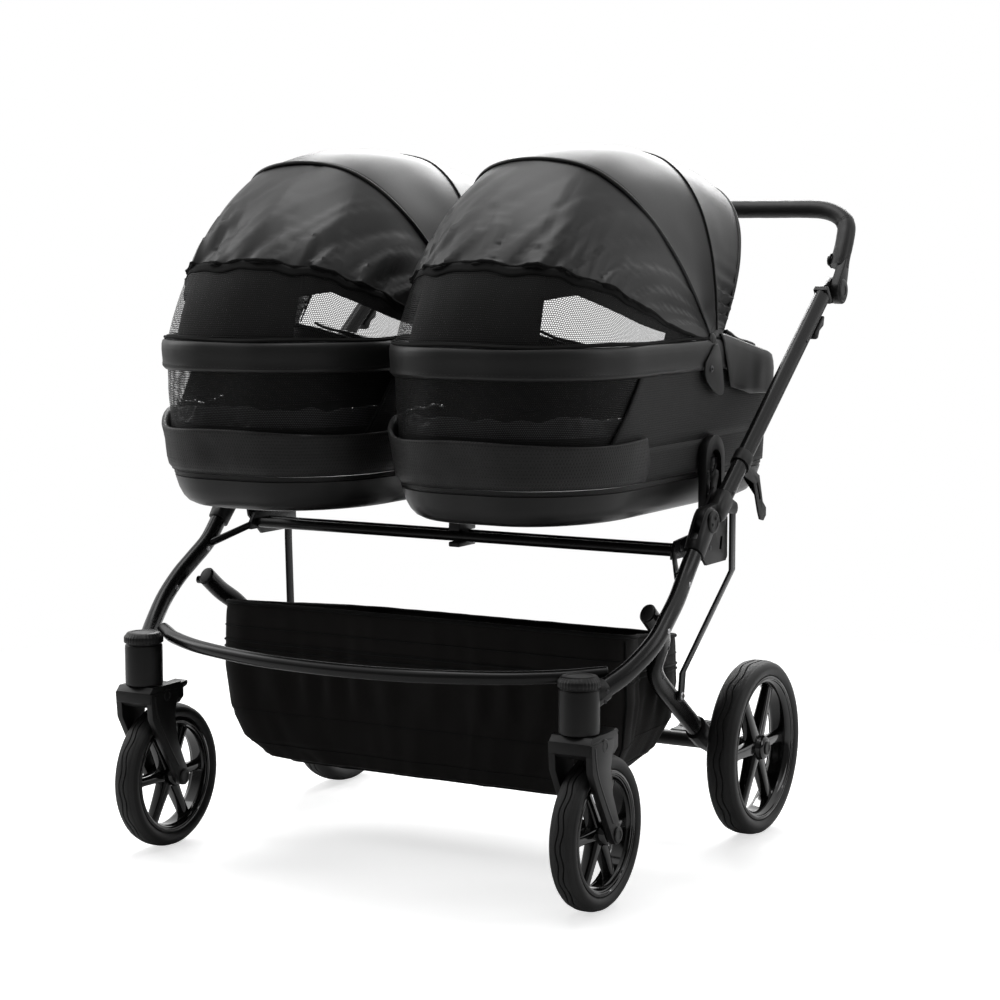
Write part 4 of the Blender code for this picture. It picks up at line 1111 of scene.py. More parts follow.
def make_apron(x, side):
    """The leatherette cover over the foot half: a soft lid with creases, and a skirt over the rim."""
    body = "cot_" + side
    seed = 5.0 if side == "right" else 11.0
    share_front = 0.580
    shares = spread(share_front, 2 - share_front, 121)
    shares = [s if s <= 1 else s - 2 for s in shares]
    edge = along_outline(WALL_HALF + 0.0065, HEAD_Y, FOOT_Y + 0.0050, shares)
    middle = Vector((0.0, 0.150, 0.0))
    rows = []
    skirt = [(-1.0, 0.0016), (-0.97, 0.0030), (-0.86, 0.0036), (-0.6, 0.0034), (-0.3, 0.0032), (-0.1, 0.0020)]
    for down, out in skirt:
        row = []
        for j, p in enumerate(edge):
            place = j / (len(edge) - 1)
            corner = min(place, 1 - place)
            deep = 0.072 * min(1.0, 0.10 + corner / 0.035) * (1 - 0.33 * min(1.0, max(p.y - 0.12, 0) / 0.15))
            q = Vector((x + p.x, p.y, rim_height(p.y) + down * deep))
            ripple = 0.0022 * noise.noise(Vector((place * 26, down * 1.2, seed))) * (0.3 - down)
            row.append(q + outward_at(q, x) * (out + ripple))
        rows.append(row)
    for inset, rise in ((0.0, 0.0042), (0.015, 0.0068), (0.05, 0.0074), (0.10, 0.0056), (0.20, 0.0010),
                        (0.32, -0.0040), (0.45, -0.0085), (0.60, -0.0120), (0.75, -0.0145), (0.90, -0.0160),
                        (0.985, -0.0165)):
        row = []
        for j, p in enumerate(edge):
            q = p.lerp(middle, inset)
            place = j / (len(edge) - 1)
            crease = noise.noise(Vector((q.x * 16 + seed, q.y * 9, 2.0))) * 0.0045
            crease += 0.0022 * max(0.0, sin(q.x * 60 + q.y * 95 + 3 * sin(q.y * 30 + seed))) ** 2
            row.append(Vector((x + q.x, q.y, rim_height(q.y) + rise + crease * min(1.0, inset * 8))))
        rows.append(row)
    apron = surface("apron_cover_" + side, rows, BAND_LEATHER, body, 0.0024, stands_for=["cot_apron_" + side])
    flap_rows = []
    for i in range(15):
        f = i / 14
        row = []
        for j in range(41):
            g = j / 40 * 2 - 1
            px = g * (0.176 - 0.010 * f)
            py = 0.070 + 0.130 * f
            lift = 0.0150 - 0.0280 * (1 - abs(g) ** 2.5) + 0.005 * exp(-((f - 0.10) / 0.16) ** 2)
            soft = 0.0055 * noise.noise(Vector((px * 22, py * 30, seed + 6)))
            row.append(Vector((x + px, py, rim_height(py) + lift + soft)))
        flap_rows.append(row)
    flap = surface("apron_top_flap_" + side, flap_rows, BAND_LEATHER, body, 0.0030,
                   inside=(x, 0.1, 0.5))
    edge_line = [q + Vector((0, -0.0004, -0.0012)) for q in flap_rows[0]]
    points, faces = solid(tube_rings(edge_line, 0.0026, 0.0026, Z, 10))
    add_piece("apron_edge_" + side, points, faces, BAND_LEATHER, body)


def make_ears(x, side):
    """The hood's hinge ears: a folded leatherette tab on each side, with a snap and the hinge disc."""
    for sign, which in ((1, "outer"), (-1, "inner")):
        end = "%s_%s" % (which, side)
        face_x = x + sign * (WALL_HALF + 0.0078)
        outline = [(-0.018, 0.793), (-0.006, 0.793), (0.004, 0.776), (0.012, 0.745), (0.016, 0.722),
                   (0.012, 0.7145), (-0.004, 0.7150), (-0.026, 0.7230), (-0.046, 0.7370), (-0.055, 0.752),
                   (-0.050, 0.766), (-0.034, 0.778)]
        shape = prism_x(round_corners(outline, 0.006, 3), 0.0, 0.0034, 0.0012)
        points = [Vector((face_x + sign * p.x, p.y, p.z)) for p in shape[0]]
        faces = shape[1] if sign > 0 else [f[::-1] for f in shape[1]]
        add_piece("hood_ear_" + end, points, faces, BAND_LEATHER, "cot_" + side)
        place = Vector((face_x + sign * 0.0034, -0.0330, 0.7560))
        shape = join([turned_body([(0.0052, 0), (0.0052, 0.0010), (0.0040, 0.0019), (0.0012, 0.0021)],
                                  place, X * sign, 24),
                      turned_body([(0.0018, 0.0018), (0.0018, 0.0030), (0.0010, 0.0034)], place, X * sign, 12)])
        add_piece("ear_snap_" + end, *shape, DARK_STEEL, "cot_" + side)
        gusset = turned_body([(0.0150, -0.0040), (0.0190, -0.0020), (0.0200, 0.0), (0.0180, 0.0020), (0.0100,
                                                                                                      0.0030)],
                             Vector((x + sign * (WALL_HALF + 0.0005), 0.004, 0.7900)), X * sign, 28)
        add_piece("hood_gusset_" + end, *gusset, BAND_LEATHER, "cot_" + side)
        fan = [(-0.0340, 0.7985), (-0.0220, 0.8090), (0.0055, 0.8235), (0.0290, 0.8170), (0.0335, 0.8105),
               (0.0225, 0.7880), (-0.0100, 0.7860)]
        shape = prism_x(round_corners(fan, 0.005, 3), 0.0, 0.0026, 0.0008)
        points = [Vector((x + sign * (WALL_HALF - 0.0016 + p.x), p.y, p.z)) for p in shape[0]]
        faces = shape[1] if sign > 0 else [f[::-1] for f in shape[1]]
        add_piece("hood_fan_" + end, points, faces, BAND_LEATHER, "cot_" + side)
        hub = Vector((x + sign * (WALL_HALF - 0.002), PIVOT_YZ[0] - 0.020, 0.797))
        shape = turned_body([(0.0120, 0), (0.0120, 0.0060), (0.0095, 0.0085), (0.0040, 0.0090)], hub, X * sign,
                            28)
        add_piece("hood_hinge_" + end, *shape, PLASTIC, "cot_" + side)


def make_latch(side):
    """The arch on the cot's outer side, with its cover, two screws and the release slide."""
    middle = -0.016
    outer = [(middle + 0.034, 0.536)] + [(middle + 0.034 * cos(a), 0.621 + 0.034 * sin(a))
                                         for a in [radians(10 * i) for i in range(19)]] + [(middle - 0.034,
                                                                                            0.536)]
    inner = [(middle - 0.0215, 0.536)] + [(middle - 0.0215 * cos(a), 0.613 + 0.0215 * sin(a))
                                          for a in [radians(12 * i) for i in range(16)]] + [(middle + 0.0215,
                                                                                             0.536)]
    arch = prism_x([Vector(p) for p in outer + inner], 0.3896, 0.4032, 0.0012)
    screws = [screw((0.4032, middle + 0.0278 * s, z), X, 0.0030) for s, z in ((1, 0.566), (-1, 0.566), (-1,
                                                                                                        0.600))]
    slide = prism_x(round_corners([(middle - 0.0195, 0.600), (middle + 0.0195, 0.600), (middle + 0.0195, 0.618),
                                   (middle + 0.008, 0.632), (middle - 0.008, 0.632), (middle - 0.0195, 0.618)],
                                  0.004), 0.3880, 0.3945, 0.0008)
    button = turned_body([(0.0150, 0), (0.0150, 0.0050), (0.0135, 0.0066), (0.0105, 0.0060), (0.0100, 0.0050)],
                         Vector((0.3905, middle, 0.6120)), X, 36)
    leaf = prism_x(round_corners([(middle + 0.0150, 0.6010), (middle + 0.0040, 0.6030), (middle - 0.0070, 0.5930),
                                  (middle - 0.0125, 0.5760), (middle - 0.0110, 0.5560), (middle - 0.0060, 0.5440),
                                  (middle + 0.0190, 0.5930)], 0.004), 0.3905, 0.4015, 0.0014)
    shapes = {"latch_arch": (arch, PLASTIC), "latch_screws": (join(screws), DARK_STEEL),
              "latch_slide": (slide, PLASTIC), "latch_button": (button, PLASTIC), "latch_leaf": (leaf, PLASTIC)}
    for name, (shape, look) in shapes.items():
        own = shape if side == "right" else mirror(shape)
        add_piece(name + "_" + side, own[0], own[1], look, "cot_" + side,
                  ["cot_latch_" + side] if name == "latch_arch" else ())


def make_carrycots():
    for side, sign in (("right", 1), ("left", -1)):
        x = sign * COT_X
        make_tub(x, side)
        make_wall(x, side)
        make_flap(x, side)
        make_rim_band(x, side)
        make_mattress(x, side)
        make_hood(x, side)
        make_apron(x, side)
        make_ears(x, side)
        make_latch(side)


make_carrycots()


# Side frames

SIDE_X = 0.430
TRACK_FRONT, TRACK_REAR = 0.380, 0.393
FRONT_AXLE, REAR_AXLE = Vector((TRACK_FRONT, -0.3625, 0.113)), Vector((TRACK_REAR, 0.164, 0.140))
FOLD_PIVOT = Vector((SIDE_X, -0.113, 0.535))
STRUT_FOOT = Vector((0.3618, -0.045, 0.2545))
HANDLE_PIVOT = Vector((SIDE_X, 0.390, 0.866))
UPPER_START, UPPER_END = Vector((SIDE_X, -0.067, 0.546)), Vector((SIDE_X, 0.335, 0.8563))
UPPER_ALONG = (UPPER_END - UPPER_START).normalized()
FRONT_LEG = smooth([(0.430, -0.150, 0.490), (0.430, -0.180, 0.459), (0.4345, -0.215, 0.433),
                    (0.4365, -0.251, 0.409), (0.4345, -0.292, 0.378), (0.420, -0.340, 0.346),
                    (0.402, -0.381, 0.325)], 6)
REAR_LEG = smooth([(0.3950, -0.232, 0.411), (0.3940, -0.196, 0.3835), (0.3860, -0.163, 0.360),
                   (0.3700, -0.143, 0.333), (0.3570, -0.128, 0.309), (0.3500, -0.095, 0.281),
                   (0.3450, -0.031, 0.241), (0.3450, 0.045, 0.188)], 6)


def rivet(centre, axis, radius=0.0042, height=0.0014):
    """A domed rivet head with a small dimple."""
    return turned_body([(radius, 0), (radius, height * 0.35), (radius * 0.86, height * 0.75),
                        (radius * 0.55, height), (radius * 0.30, height * 0.92), (radius * 0.18, height * 0.55)],
                       centre, axis, 24)


def make_tubes():
    both_sides("front_leg_tube", rounded_tube(FRONT_LEG, 0.012, 0.015, sides=32), PAINT, "frame", ["front_leg"])
    upper = [(UPPER_START + UPPER_ALONG * 0.030).lerp(UPPER_END, k / 12) for k in range(13)]
    both_sides("upper_side_tube", rounded_tube(upper, 0.012, 0.015, sides=32), PAINT, "upper_frame",
               ["upper_tube"])
    leg = join([rounded_tube(REAR_LEG, 0.012, 0.0155, sides=32),
                turned_body([(0.0062, 0), (0.0062, 0.0190), (0.0050, 0.0200)], (0.4005, -0.220, 0.4015), X, 24),
                turned_body([(0.0075, 0), (0.0075, 0.0088)], (0.3505, -0.045, 0.2545), X, 24),
                turned_body([(0.0040, 0), (0.0040, 0.0160)], (0.3505, -0.045, 0.2545), X, 20)])
    both_sides("rear_leg_tube", leg, PAINT, "rear_frame", ["rear_leg"])
    top, along = REAR_LEG[0], (REAR_LEG[0] - REAR_LEG[1]).normalized()
    plug = solid(tube_rings([top + along * d for d in (-0.0035, 0.0012, 0.0024, 0.0030)],
                            [0.0102, 0.0102, 0.0095, 0.0070], [0.0136, 0.0136, 0.0128, 0.0095], X, 28))
    both_sides("rear_leg_plug", plug, PLASTIC, "rear_frame")
    half = [(0.3910, -0.3510, 0.3415), (0.370, -0.3675, 0.3400), (0.335, -0.3935, 0.3375),
            (0.260, -0.4290, 0.3345), (0.150, -0.4560, 0.3315), (0.050, -0.4650, 0.3300)]
    path = smooth(half + [(-x, y, z) for x, y, z in reversed(half)], 6)
    points, faces = rounded_tube(path, 0.0100, 0.0100, Z, 28)
    add_piece("crossbar_tube", points, faces, PAINT, "frame", ["front_crossbar"])
    for name, y in (("front_cross_tube", -0.105), ("rear_cross_tube", -0.075)):
        path = [Vector((x, y, 0.4855)) for x in spread(-0.3797, 0.3797, 12)]
        points, faces = rounded_tube(path, 0.0080, 0.0080, Z, 28)
        add_piece(name + "_finished", points, faces, PAINT, "frame", [name])
    rivets = []
    for k in (8, 21):
        way = (FRONT_LEG[k + 1] - FRONT_LEG[k - 1]).normalized()
        across = way.cross(X).normalized()
        facing = (across.cross(way)).normalized()
        facing = facing if facing.x > 0 else -facing
        rivets.append(rivet(FRONT_LEG[k] + facing * 0.0117, facing))
        rivets.append(rivet(FRONT_LEG[k] - facing * 0.0117, -facing))
    both_sides("leg_rivets", join(rivets), STEEL, "frame")
    rivets = []
    for k in (14, 27):
        way = (REAR_LEG[k + 1] - REAR_LEG[k - 1]).normalized()
        facing = way.cross(way.cross(X)).normalized()
        facing = facing if facing.x > 0 else -facing
        rivets.append(rivet(REAR_LEG[k] + facing * 0.0117, facing, 0.0036))
    both_sides("rear_leg_rivets", join(rivets), DARK_STEEL, "rear_frame")
    rivets = [rivet(UPPER_START + UPPER_ALONG * d + X * 0.0118, X, 0.0034) for d in (0.040, 0.395)]
    both_sides("upper_tube_rivets", join(rivets), DARK_STEEL, "upper_frame")


def make_fold_parts():
    for side in ("right", "left"):
        detailed_copy("fold_fork_" + side, PLASTIC, "frame", 0.0016)
        detailed_copy("fold_knuckle_" + side, PLASTIC, "upper_frame", 0.0012)
        detailed_copy("fold_trigger_" + side, PLASTIC, "fold_trigger_" + side, 0.0022)
        detailed_copy("handle_joint_" + side, PLASTIC, "upper_frame", 0.0014)
        detailed_copy("handle_button_" + side, PLASTIC, "handle_button_" + side, 0.0014)
        detailed_copy("cot_bracket_" + side, STRUT_PAINT, "frame", 0.0009)
        detailed_copy("caster_housing_" + side, PLASTIC, "frame", 0.0008, 20)
        detailed_copy("front_fork_" + side, PLASTIC, "swivel_" + side, 0.0018)
        detailed_copy("swivel_lever_" + side, PLASTIC, "swivel_lever_" + side, 0.0022)
        detailed_copy("fold_strut_" + side, STRUT_PAINT, "strut_" + side, 0.0005)
    detailed_copy("centre_support", PLASTIC, "frame", 0.0020)
    detailed_copy("transport_strap", RUBBER, "upper_frame", 0.0008)
    detailed_copy("rear_axle", PLASTIC, "rear_frame", 0.0016)
    detailed_copy("brake_pedal", PLASTIC, "brake_pedal", 0.0035)
    cover = turned_body([(0.0172, 0), (0.0172, 0.0012), (0.0162, 0.0024), (0.0142, 0.0029), (0.0118, 0.0027),
                         (0.0112, 0.0020)], FOLD_PIVOT + X * 0.0143, X, 48)
    screws = [screw(FOLD_PIVOT + X * 0.0170 + Vector((0, 0.0058 * s, 0.0042 * s)), X, 0.0028, 0.0010)
              for s in (-1, 1)]
    both_sides("fold_cover", cover, PLASTIC, "frame")
    both_sides("fold_cover_screws", join(screws), DARK_STEEL, "frame")
    studs = [turned_body([(0.0078, 0), (0.0078, 0.0018), (0.0066, 0.0027), (0.0030, 0.0031), (0.0022, 0.0022)],
                         Vector((0.4143, 0.027, 0.540)), X, 32),
             turned_body([(0.0046, 0), (0.0046, 0.0026), (0.0036, 0.0032)], Vector((0.4152, -0.020, 0.540)), X,
                         24)]
    both_sides("strut_studs", join(studs), DARK_STEEL, "upper_frame")
    plates = [rivet(Vector((0.4094, y, z)), X, radius, 0.0007)
              for y, z, radius in ((-0.046, 0.486, 0.0038), (-0.036, 0.560, 0.0042), (0.006, 0.520, 0.0036))]
    both_sides("plate_rivets", join(plates), DARK_STEEL, "upper_frame")
    heads = [screw(Vector((0.3858, y, z)), X, 0.0042, 0.0016) for y, z in ((-0.100, 0.4905), (-0.060, 0.4945))]
    heads += [screw(Vector((0.3985, y, 0.545)), X, 0.0032, 0.0014) for y in (-0.026, -0.006)]
    both_sides("bracket_screws", join(heads), DARK_STEEL, "frame")
    groove = [Vector((0.3990, -0.016 + d, 0.596 + s)) for d, s in ((-0.010, -0.012), (0.004, 0.004), (0.010,
                                                                                                      0.014))]
    both_sides("lug_rib", solid(tube_rings(smooth(groove, 6), 0.0012, 0.0016, X, 10)), PLASTIC, "frame")
    foot = rivet(STRUT_FOOT + X * 0.0022, X, 0.0062, 0.0022)
    both_sides("strut_foot_rivet", foot, STEEL, "strut_")


def make_handle():
    arm = (0.408, 0.904)
    right = [(0.4303, *arm), (0.4303, 0.4165, 0.921), (0.4303, 0.432, 0.948), (0.4255, 0.4475, 0.973),
             (0.4060, 0.4560, 0.9900), (0.3760, 0.4595, 0.9985), (0.330, 0.4600, 1.0000)]
    path = smooth(right, 8)
    path = path + [Vector((0.330 * (1 - k / 60), 0.4600, 1.0000)) for k in range(1, 60)]
    path += [Vector((0, 0.46, 1.0))] + [Vector((-p.x, p.y, p.z)) for p in reversed(path)]
    fine = [path[0]]
    for p in path[1:]:
        if (p - fine[-1]).length > 0.0018:
            fine.append(p)
    rings = tube_rings(fine, 0.015, 0.015, Vector((0, -0.888, 0.460)), 32)
    for i, ring in enumerate(rings):
        for k, p in enumerate(ring):
            swell = 0.00035 * noise.noise(p * 38) + 0.00025 * noise.noise(p * 110)
            ring[k] = p + (p - fine[i]).normalized() * swell
    points, faces = solid(rings)
    run, uv = 0.0, []
    for i, ring in enumerate(rings):
        run += (fine[i] - fine[i - 1]).length if i else 0.0
        uv += [(run, 0.0942 * k / 32) for k in range(32)]
    add_piece("handle_grip", points, faces, GRIP_LEATHER, "handle", ["handlebar"], uv)
    seams = []
    for sign in (1, -1):
        centre = min(range(len(fine)), key=lambda i: (fine[i] - Vector((sign * 0.4240, 0.4490, 0.9760))).length)
        for shift, radius in ((0, 0.0152), (1, 0.0152)):
            at = centre + shift
            way = (fine[at + 1] - fine[at]).normalized()
            seams.append(turned_body([(radius - 0.0008, -0.0010), (radius + 0.0004, 0), (radius - 0.0008,
                                                                                         0.0010)],
                                     fine[at], way, 32))
    add_piece("grip_seams", *join(seams), GRIP_LEATHER, "handle")
    low = [p + Vector((0, 0.0068, -0.0134)) for p in fine if abs(p.x) < 0.3755 or p.z > 0.985]
    add_piece("grip_stitches", *stitches(low, Vector((0, 0.4, -0.9)), 0.0036, 0.0018, 0.00045), GRIP_LEATHER,
              "handle")
    neck = [(HANDLE_PIVOT.y + 0.0225 * cos(a), HANDLE_PIVOT.z + 0.0225 * sin(a))
            for a in [radians(10 * i + 150) for i in range(25)]]
    neck += [(0.4095 + 0.0110 * cos(a),
              0.9075 + 0.0110 * sin(a)) for a in [radians(20 * i + 30) for i in range(7)]]
    both_sides("handle_neck", prism_x([Vector(p) for p in neck], 0.4300, 0.4445, 0.0014), PLASTIC, "handle")
    cap = turned_body([(0.0185, 0), (0.0185, 0.0008), (0.0172, 0.0022), (0.0150, 0.0027), (0.0090, 0.0025),
                       (0.0082, 0.0016)], HANDLE_PIVOT + X * 0.0142, X, 48)
    both_sides("handle_disc_cap", cap, PLASTIC, "handle")
    ring = turned_body([(0.0125, 0), (0.0125, 0.0012), (0.0115, 0.0016), (0.0103, 0.0012), (0.0103, 0.0)],
                       Vector((0.4150, 0.4125, 0.914)) + X * 0.001, -X, 32)
    both_sides("button_collar", ring, PLASTIC, "handle")


make_tubes()
make_fold_parts()
make_handle()


# Casters and wheels


def make_casters():
    centre = Vector((TRACK_FRONT, -0.4155, 0.0))
    cap = turned_body([(0.0280, 0.3302), (0.0298, 0.3312), (0.0304, 0.3322), (0.0304, 0.3392), (0.0296, 0.3410),
                       (0.0278, 0.3428), (0.0262, 0.3452), (0.0245, 0.3466), (0.0190, 0.3470), (0.0186, 0.3464),
                       (0.0100, 0.3462)], centre, Z, 144, bump_count=36, bump_depth=0.0007)
    both_sides("caster_cap", cap, PLASTIC, "frame")
    skirt = turned_body([(0.0270, 0.2652), (0.0287, 0.2664), (0.0290, 0.2700), (0.0290, 0.3230), (0.0286,
                                                                                                  0.3268)],
                        centre, Z, 64)
    both_sides("caster_barrel", skirt, PLASTIC, "frame")
    way = (FRONT_LEG[-1] - FRONT_LEG[-4]).normalized()
    facing = way.cross(way.cross(X)).normalized()
    facing = facing if facing.x > 0 else -facing
    at = Vector((0.3985, -0.3905, 0.3195))
    heads = [screw(at + facing * 0.0148 + Vector((0, 0.003 * s, 0.0066 * s)), facing, 0.0030,
                   0.0014) for s in (-1, 1)]
    both_sides("caster_socket_screws", join(heads), DARK_STEEL, "frame")
    for sign in (1, -1):
        which = "outer" if sign > 0 else "inner"
        disc = turned_body([(0.0118, 0), (0.0118, 0.0014), (0.0106, 0.0026), (0.0070, 0.0028), (0.0064, 0.0018),
                            (0.0030, 0.0016)], FRONT_AXLE + X * 0.0343 * sign, X * sign, 40)
        both_sides("axle_cap_" + which, disc, PLASTIC, "swivel_")
        rib = [Vector((0.0345 * sign + TRACK_FRONT, y, z)) for y, z in
               ((-0.4330, 0.2500), (-0.4255, 0.2140), (-0.4020, 0.1720), (-0.3765, 0.1330))]
        both_sides("arm_rib_" + which, solid(tube_rings(smooth(rib, 6), 0.0010, 0.0018, X, 10)), PLASTIC,
                   "swivel_")
        disc = turned_body([(0.0098, 0), (0.0098, 0.0012), (0.0086, 0.0024), (0.0052, 0.0026), (0.0046, 0.0016)],
                           Vector((TRACK_FRONT + 0.0325 * sign, -0.4015, 0.2480)), X * sign, 36)
        both_sides("crown_disc_" + which, disc, PLASTIC, "swivel_")
    wing = prism_x(round_corners([(-0.3760, 0.2500), (-0.3620, 0.2480), (-0.3380, 0.2475), (-0.3260, 0.2510),
                                  (-0.3230, 0.2565), (-0.3400, 0.2550), (-0.3620, 0.2580), (-0.3760, 0.2575)],
                                 0.003),
                   TRACK_FRONT + 0.0143, TRACK_FRONT + 0.0152, 0.0)
    both_sides("lever_edge", wing, PLASTIC, "swivel_")


def wheel_point(axle, radius, turn, across):
    return Vector((axle.x + across, axle.y + radius * sin(turn), axle.z - radius * cos(turn)))


def make_tyre(name, axle, radius, inner, half, body, node_name):
    """A flat-treaded tyre: two wavy grooves and a stippled tread between them."""
    steps, periods = 560, 14
    profile = [(inner + 0.0002, -half + 0.0050), (inner + 0.0025, -half + 0.0022), (inner + 0.0090,
                                                                                    -half + 0.0002),
               (radius - 0.0110, -half + 0.0004), (radius - 0.0085, -half + 0.0012), (radius - 0.0060,
                                                                                      -half + 0.0030),
               (radius - 0.0030, -half + 0.0064)]
    width = half - 0.0094
    lanes = spread(-width, width, 61)
    rings = []
    for i in range(steps):
        turn = 2 * pi * i / steps
        phase = (turn * periods / (2 * pi)) % 1.0
        wave = max(-1.0, min(1.0, 3.2 * (abs(phase * 2 - 1) - 0.5)))
        ring = [wheel_point(axle, r, turn, a) for r, a in profile]
        for lane in lanes:
            share = lane / width
            crown = radius - 0.0022 * share ** 4 - 0.0003
            groove = 0.0
            for middle, tall in ((-0.34, 0.15), (0.34, 0.15)):
                off = share - middle - tall * wave
                groove = max(groove, 1 - min(1.0, max(0.0, abs(off) - 0.055) / 0.030))
            ring.append(wheel_point(axle, crown - 0.0026 * groove, turn, lane))
        ring += [wheel_point(axle, r, turn, -a) for r, a in profile[::-1]]
        rings.append(ring)
    count = len(rings[0])
    points = [p for ring in rings for p in ring]
    faces, parts = [], []
    low, high = len(profile) - 1, count - len(profile)
    for i in range(steps):
        for j in range(count):
            k = (j + 1) % count
            n = (i + 1) % steps
            faces.append((i * count + j, i * count + k, n * count + k, n * count + j))
            parts.append(1 if low <= j <= high else 0)
    a, b, c, d = (points[v] for v in faces[count // 2])
    if (c - a).cross(d - b).dot(a - axle) < 0:
        faces = [face[::-1] for face in faces]
    uv = []
    for i in range(steps):
        for j in range(count):
            uv.append((2 * pi * radius * i / steps, j * 0.0008))
    add_piece(name, points, faces, [TYRE_SIDE, TYRE_TREAD], body, [node_name], uv, parts=parts)


def make_rim(name, axle, outer, inner, half, hub, hub_half, body, node_name):
    """A deep rim with stepped edges and six hollow-backed spokes that swell into the hub."""
    shapes = []
    ring = [(outer, -half), (outer, half), (outer - 0.0012, half + 0.0008), (outer - 0.0040, half + 0.0010),
            (outer - 0.0046, half - 0.0002), (outer - 0.0062, half - 0.0006), (outer - 0.0068, half - 0.0024),
            (outer - 0.0084, half - 0.0030), (inner + 0.0022, half - 0.0060), (inner + 0.0004, half - 0.0090),
            (inner, 0.0085), (inner, -0.0085), (inner + 0.0004, -half + 0.0090), (inner + 0.0022, -half + 0.0060),
            (outer - 0.0084, -half + 0.0030), (outer - 0.0068, -half + 0.0024), (outer - 0.0062, -half + 0.0006),
            (outer - 0.0046, -half + 0.0002), (outer - 0.0040, -half - 0.0010), (outer - 0.0012, -half - 0.0008)]
    count, steps = len(ring), 144
    points = [wheel_point(axle, r, 2 * pi * i / steps, a) for i in range(steps) for r, a in ring]
    faces = []
    for i in range(steps):
        n = (i + 1) % steps
        for j in range(count):
            k = (j + 1) % count
            faces.append((i * count + j, i * count + k, n * count + k, n * count + j))
    a, b, c, d = (points[v] for v in faces[0])
    if (c - a).cross(d - b).dot(a - axle) < 0:
        faces = [face[::-1] for face in faces]
    shapes.append((points, faces))
    profile = [(hub * 0.60, -hub_half - 0.0004), (hub * 0.80, -hub_half), (hub * 0.96, -hub_half + 0.0026),
               (hub, -0.0150), (hub * 1.10, -0.0120), (hub * 1.10, 0.0120), (hub, 0.0150),
               (hub * 0.96, hub_half - 0.0026), (hub * 0.80, hub_half), (hub * 0.60, hub_half + 0.0004)]
    shapes.append(turned_body(profile, axle, X, 64))
    for spoke in range(6):
        turn = 2 * pi * (spoke + 0.5) / 6
        rings = []
        for f in spread(0, 1, 12):
            r = hub * 0.85 + (inner + 0.0020 - hub * 0.85) * f
            swell = (1 - f) ** 3 + 0.35 * f ** 6
            half_wide = 0.0074 + 0.0030 * swell + (outer - 0.09) * 0.05
            half_deep = 0.0115 - 0.0035 * f
            ring = []
            for k in range(20):
                a = 2 * pi * k / 20
                c = copysign(abs(cos(a)) ** 0.55, cos(a))
                s = copysign(abs(sin(a)) ** 0.55, sin(a))
                middle = wheel_point(axle, r, turn, half_deep * s)
                side = Vector((0, cos(turn), sin(turn)))
                ring.append(middle + side * half_wide * c)
            rings.append(ring)
        shapes.append(solid(rings))
    add_piece(name, *join(shapes), GLOSS, body, [node_name])


def make_wheels():
    for side, sign in (("right", 1), ("left", -1)):
        front = Vector((FRONT_AXLE.x * sign, FRONT_AXLE.y, FRONT_AXLE.z))
        rear = Vector((REAR_AXLE.x * sign, REAR_AXLE.y, REAR_AXLE.z))
        make_tyre("front_tyre_tread_" + side, front, 0.113, 0.0905, 0.0210, "front_wheel_" + side,
                  "front_tyre_" + side)
        make_tyre("rear_tyre_tread_" + side, rear, 0.140, 0.1155, 0.0240, "rear_wheel_" + side,
                  "rear_tyre_" + side)
        make_rim("front_rim_spokes_" + side, front, 0.0901, 0.0790, 0.0175, 0.0170, 0.0222, "front_wheel_" + side,
                 "front_rim_" + side)
        make_rim("rear_rim_spokes_" + side, rear, 0.1151, 0.1020, 0.0205, 0.0190, 0.0222, "rear_wheel_" + side,
                 "rear_rim_" + side)
        for way in (1, -1):
            which = "a" if way > 0 else "b"
            cap = turned_body([(0.0108, 0), (0.0108, 0.0015), (0.0098, 0.0026), (0.0062, 0.0028), (0.0058,
                                                                                                   0.0020),
                               (0.0030, 0.0016)], rear + X * 0.0226 * way, X * way, 40)
            add_piece("rear_hub_cap_%s_%s" % (which, side), *cap, PLASTIC, "rear_wheel_" + side)


make_casters()
make_wheels()


# Rear axle and pedal details


def make_rear_details():
    heads = []
    for p in ((0.3530, 0.148, 0.1565), (0.3530, 0.178, 0.1540), (0.3600, 0.112, 0.1600)):
        heads.append(screw(p, X, 0.0032, 0.0014))
    both_sides("axle_screws", join(heads), DARK_STEEL, "rear_frame")
    ribs = []
    for k in range(5):
        y = 0.206 + k * 0.0058
        z = 0.1525 + k * 0.0017
        ribs.append(solid(tube_rings([Vector((x, y, z)) for x in spread(0.242, 0.308, 9)], 0.0011, 0.0010, Z,
                                     10)))
    add_piece("pedal_ribs", *join(ribs), PLASTIC, "brake_pedal")


make_rear_details()


# Basket

BASKET_FRONT, BASKET_REAR = -0.246, 0.098


def basket_half_width(y):
    stations = [(-0.246, 0.366), (-0.200, 0.360), (-0.150, 0.343), (-0.120, 0.330), (0.000, 0.322), (0.100,
                                                                                                     0.300)]
    for (y0, x0), (y1, x1) in zip(stations, stations[1:]):
        if y <= y1:
            return x0 + (x1 - x0) * (y - y0) / (y1 - y0)
    return stations[-1][1]


